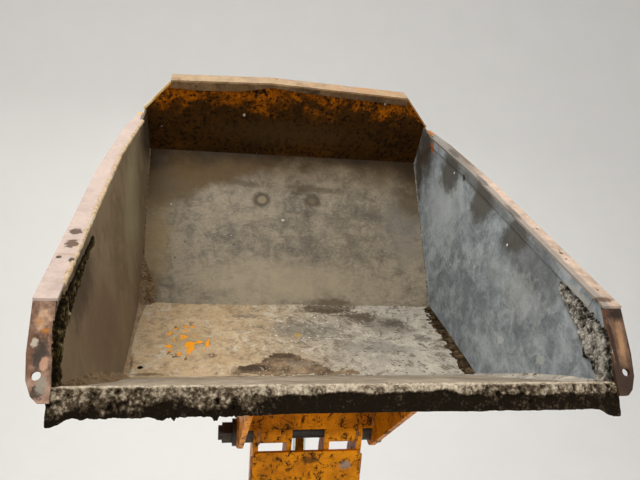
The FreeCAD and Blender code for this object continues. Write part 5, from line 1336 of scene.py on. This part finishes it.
class SKIP_OT_stage(bpy.types.Operator):
    """Set the camera, the lights and the plain floor"""
    bl_idname = "skip.stage"
    bl_label = "Stage"

    def execute(self, context):
        scene = context.scene
        look = scene.skip_look
        # A sheet of paper that lies under the part and sweeps up behind it, as (y, z) from the part's lowest point
        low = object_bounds()[0].z
        bend, start = 1.4, 2.6
        sweep = [(-6.0, 0.0), (start, 0.0)]
        sweep += [(start + bend * math.sin(t * math.pi / 16), bend - bend * math.cos(t * math.pi / 16))
                  for t in range(1, 9)]
        sweep += [(start + bend, 7.0)]
        points = [(x, y, low - 0.002 + z) for y, z in sweep for x in (-9.0, 9.0)]
        faces = [(2 * i, 2 * i + 1, 2 * i + 3, 2 * i + 2) for i in range(len(sweep) - 1)]
        mesh = bpy.data.meshes.new("studio_floor")
        mesh.from_pydata(points, [], faces)
        for face in mesh.polygons:
            face.use_smooth = True
        floor = bpy.data.objects.new("studio_floor", mesh)
        scene.collection.objects.link(floor)
        tree, where = start_material("studio_paper")
        grain = grains(tree, where, (300, 3.0, 0.5, 0.0))[0]
        colour = add(tree, "ShaderNodeMix", {0: grain, 6: paint("eeedea"), 7: paint("f3f2f0")}, data_type="RGBA")
        end_material(tree, colour, 0.9)
        mesh.materials.append(MADE["studio_paper"])
        floor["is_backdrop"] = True
        soft_light("key_softbox", (-1.6, -3.2, 3.6), (0, -0.4, 1.1), 2.4, look.key_watts, "fff9f0")
        soft_light("fill_softbox", (3.2, -2.4, 1.8), (0, -0.3, 1.0), 2.2, look.fill_watts, "e6f0ff")
        soft_light("top_softbox", (0.2, 0.6, 4.4), (0, -0.2, 1.0), 3.0, look.top_watts, "fffcf8")
        world = bpy.data.worlds.new("studio_world")
        world.use_nodes = True
        back = world.node_tree.nodes["Background"]
        back.inputs[0].default_value = paint("ebeae8")
        back.inputs[1].default_value = look.world_strength
        scene.world = world
        scene.view_settings.view_transform = "Standard"
        camera_data = bpy.data.cameras.new("photo_camera")
        camera_data.lens = CAMERA_LENS
        camera_data.sensor_width = CAMERA_SENSOR
        camera_data.clip_end = 60.0
        camera = bpy.data.objects.new("photo_camera", camera_data)
        scene.collection.objects.link(camera)
        turn = Matrix.Identity(3)
        for degrees, axis in zip(CAMERA_TURNS, "ZXY"):
            turn = turn @ Matrix.Rotation(math.radians(degrees), 3, axis)
        right, ahead, up = turn.col
        axes = Matrix((right, up, -ahead)).transposed()
        camera.matrix_world = Matrix.Translation(CAMERA_PLACE) @ axes.to_4x4()
        scene.camera = camera
        return {"FINISHED"}


class SkipLook(bpy.types.PropertyGroup):
    """Sizes, colours and lights that a user may change"""
    seed: IntProperty(name="Seed", description="Which pattern of lumps the mortar takes", default=7, min=0)
    lip_height: FloatProperty(name="Lip mortar", description="How high the mortar stands on the lip's front",
                              default=0.011, min=0.0, unit="LENGTH")
    wall_height: FloatProperty(name="Wall mortar", description="How thick the mortar is on the side walls",
                               default=0.012, min=0.0, unit="LENGTH")
    film_height: FloatProperty(name="Floor film", description="How thick the film of mortar is on the floor",
                               default=0.0018, min=0.0, unit="LENGTH")
    weld_radius: FloatProperty(name="Weld radius", description="Half the width of a weld bead", default=0.0038,
                               min=0.001, unit="LENGTH")
    bead_radius: FloatProperty(name="Rim bead", description="Half the width of the mortar bead along the left rim",
                               default=0.0048, min=0.001, unit="LENGTH")
    skip_orange: FloatVectorProperty(name="Skip enamel", description="Enamel on the skip's outside",
                                     default=paint("b06a17")[:3], min=0.0, max=1.0, size=3, subtype="COLOR")
    carrier_amber: FloatVectorProperty(name="Carrier enamel", description="Enamel on the carrier and the lift arm",
                                       default=paint("df8d0b")[:3], min=0.0, max=1.0, size=3, subtype="COLOR")
    outside_dirt: FloatProperty(name="Outside dirt", description="Share of the skip's outside under dirt",
                                default=0.30, min=0.0, max=1.0, subtype="FACTOR")
    carrier_dirt: FloatProperty(name="Carrier dirt", description="Share of the carrier and arm under dirt",
                                default=0.25, min=0.0, max=1.0, subtype="FACTOR")
    key_watts: FloatProperty(name="Key light", description="Power of the soft light in front and to the left",
                             default=120.0, min=0.0, unit="POWER")
    fill_watts: FloatProperty(name="Fill light", description="Power of the soft light on the right",
                              default=45.0, min=0.0, unit="POWER")
    top_watts: FloatProperty(name="Top light", description="Power of the soft light above",
                             default=90.0, min=0.0, unit="POWER")
    world_strength: FloatProperty(name="World light", description="Strength of the light from all round",
                                  default=0.55, min=0.0)


class SKIP_PT_panel(bpy.types.Panel):
    """The sizes and colours, and a button for each step"""
    bl_label = "Worn dumper skip"
    bl_idname = "SKIP_PT_panel"
    bl_space_type = "VIEW_3D"
    bl_region_type = "UI"
    bl_category = "Skip"

    def draw(self, context):
        look = context.scene.skip_look
        for name in SkipLook.__annotations__:
            self.layout.prop(look, name)
        for step in STEPS:
            self.layout.operator(step.bl_idname)


STEPS = (SKIP_OT_finishes, SKIP_OT_lip_mortar, SKIP_OT_wall_mortar, SKIP_OT_corner_mortar, SKIP_OT_floor_mortar,
         SKIP_OT_rim_seam, SKIP_OT_welds, SKIP_OT_crumbs, SKIP_OT_stage)
CLASSES = (SkipLook, *STEPS, SKIP_PT_panel)


def register():
    for made in CLASSES:
        bpy.utils.register_class(made)
    bpy.types.Scene.skip_look = PointerProperty(type=SkipLook)


def unregister():
    del bpy.types.Scene.skip_look
    for made in reversed(CLASSES):
        bpy.utils.unregister_class(made)


def main():
    """Register the add-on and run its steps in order."""
    register()
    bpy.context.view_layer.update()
    for step in STEPS:
        family, name = step.bl_idname.split(".")
        getattr(getattr(bpy.ops, family), name)()


if __name__ == "__main__":
    main()
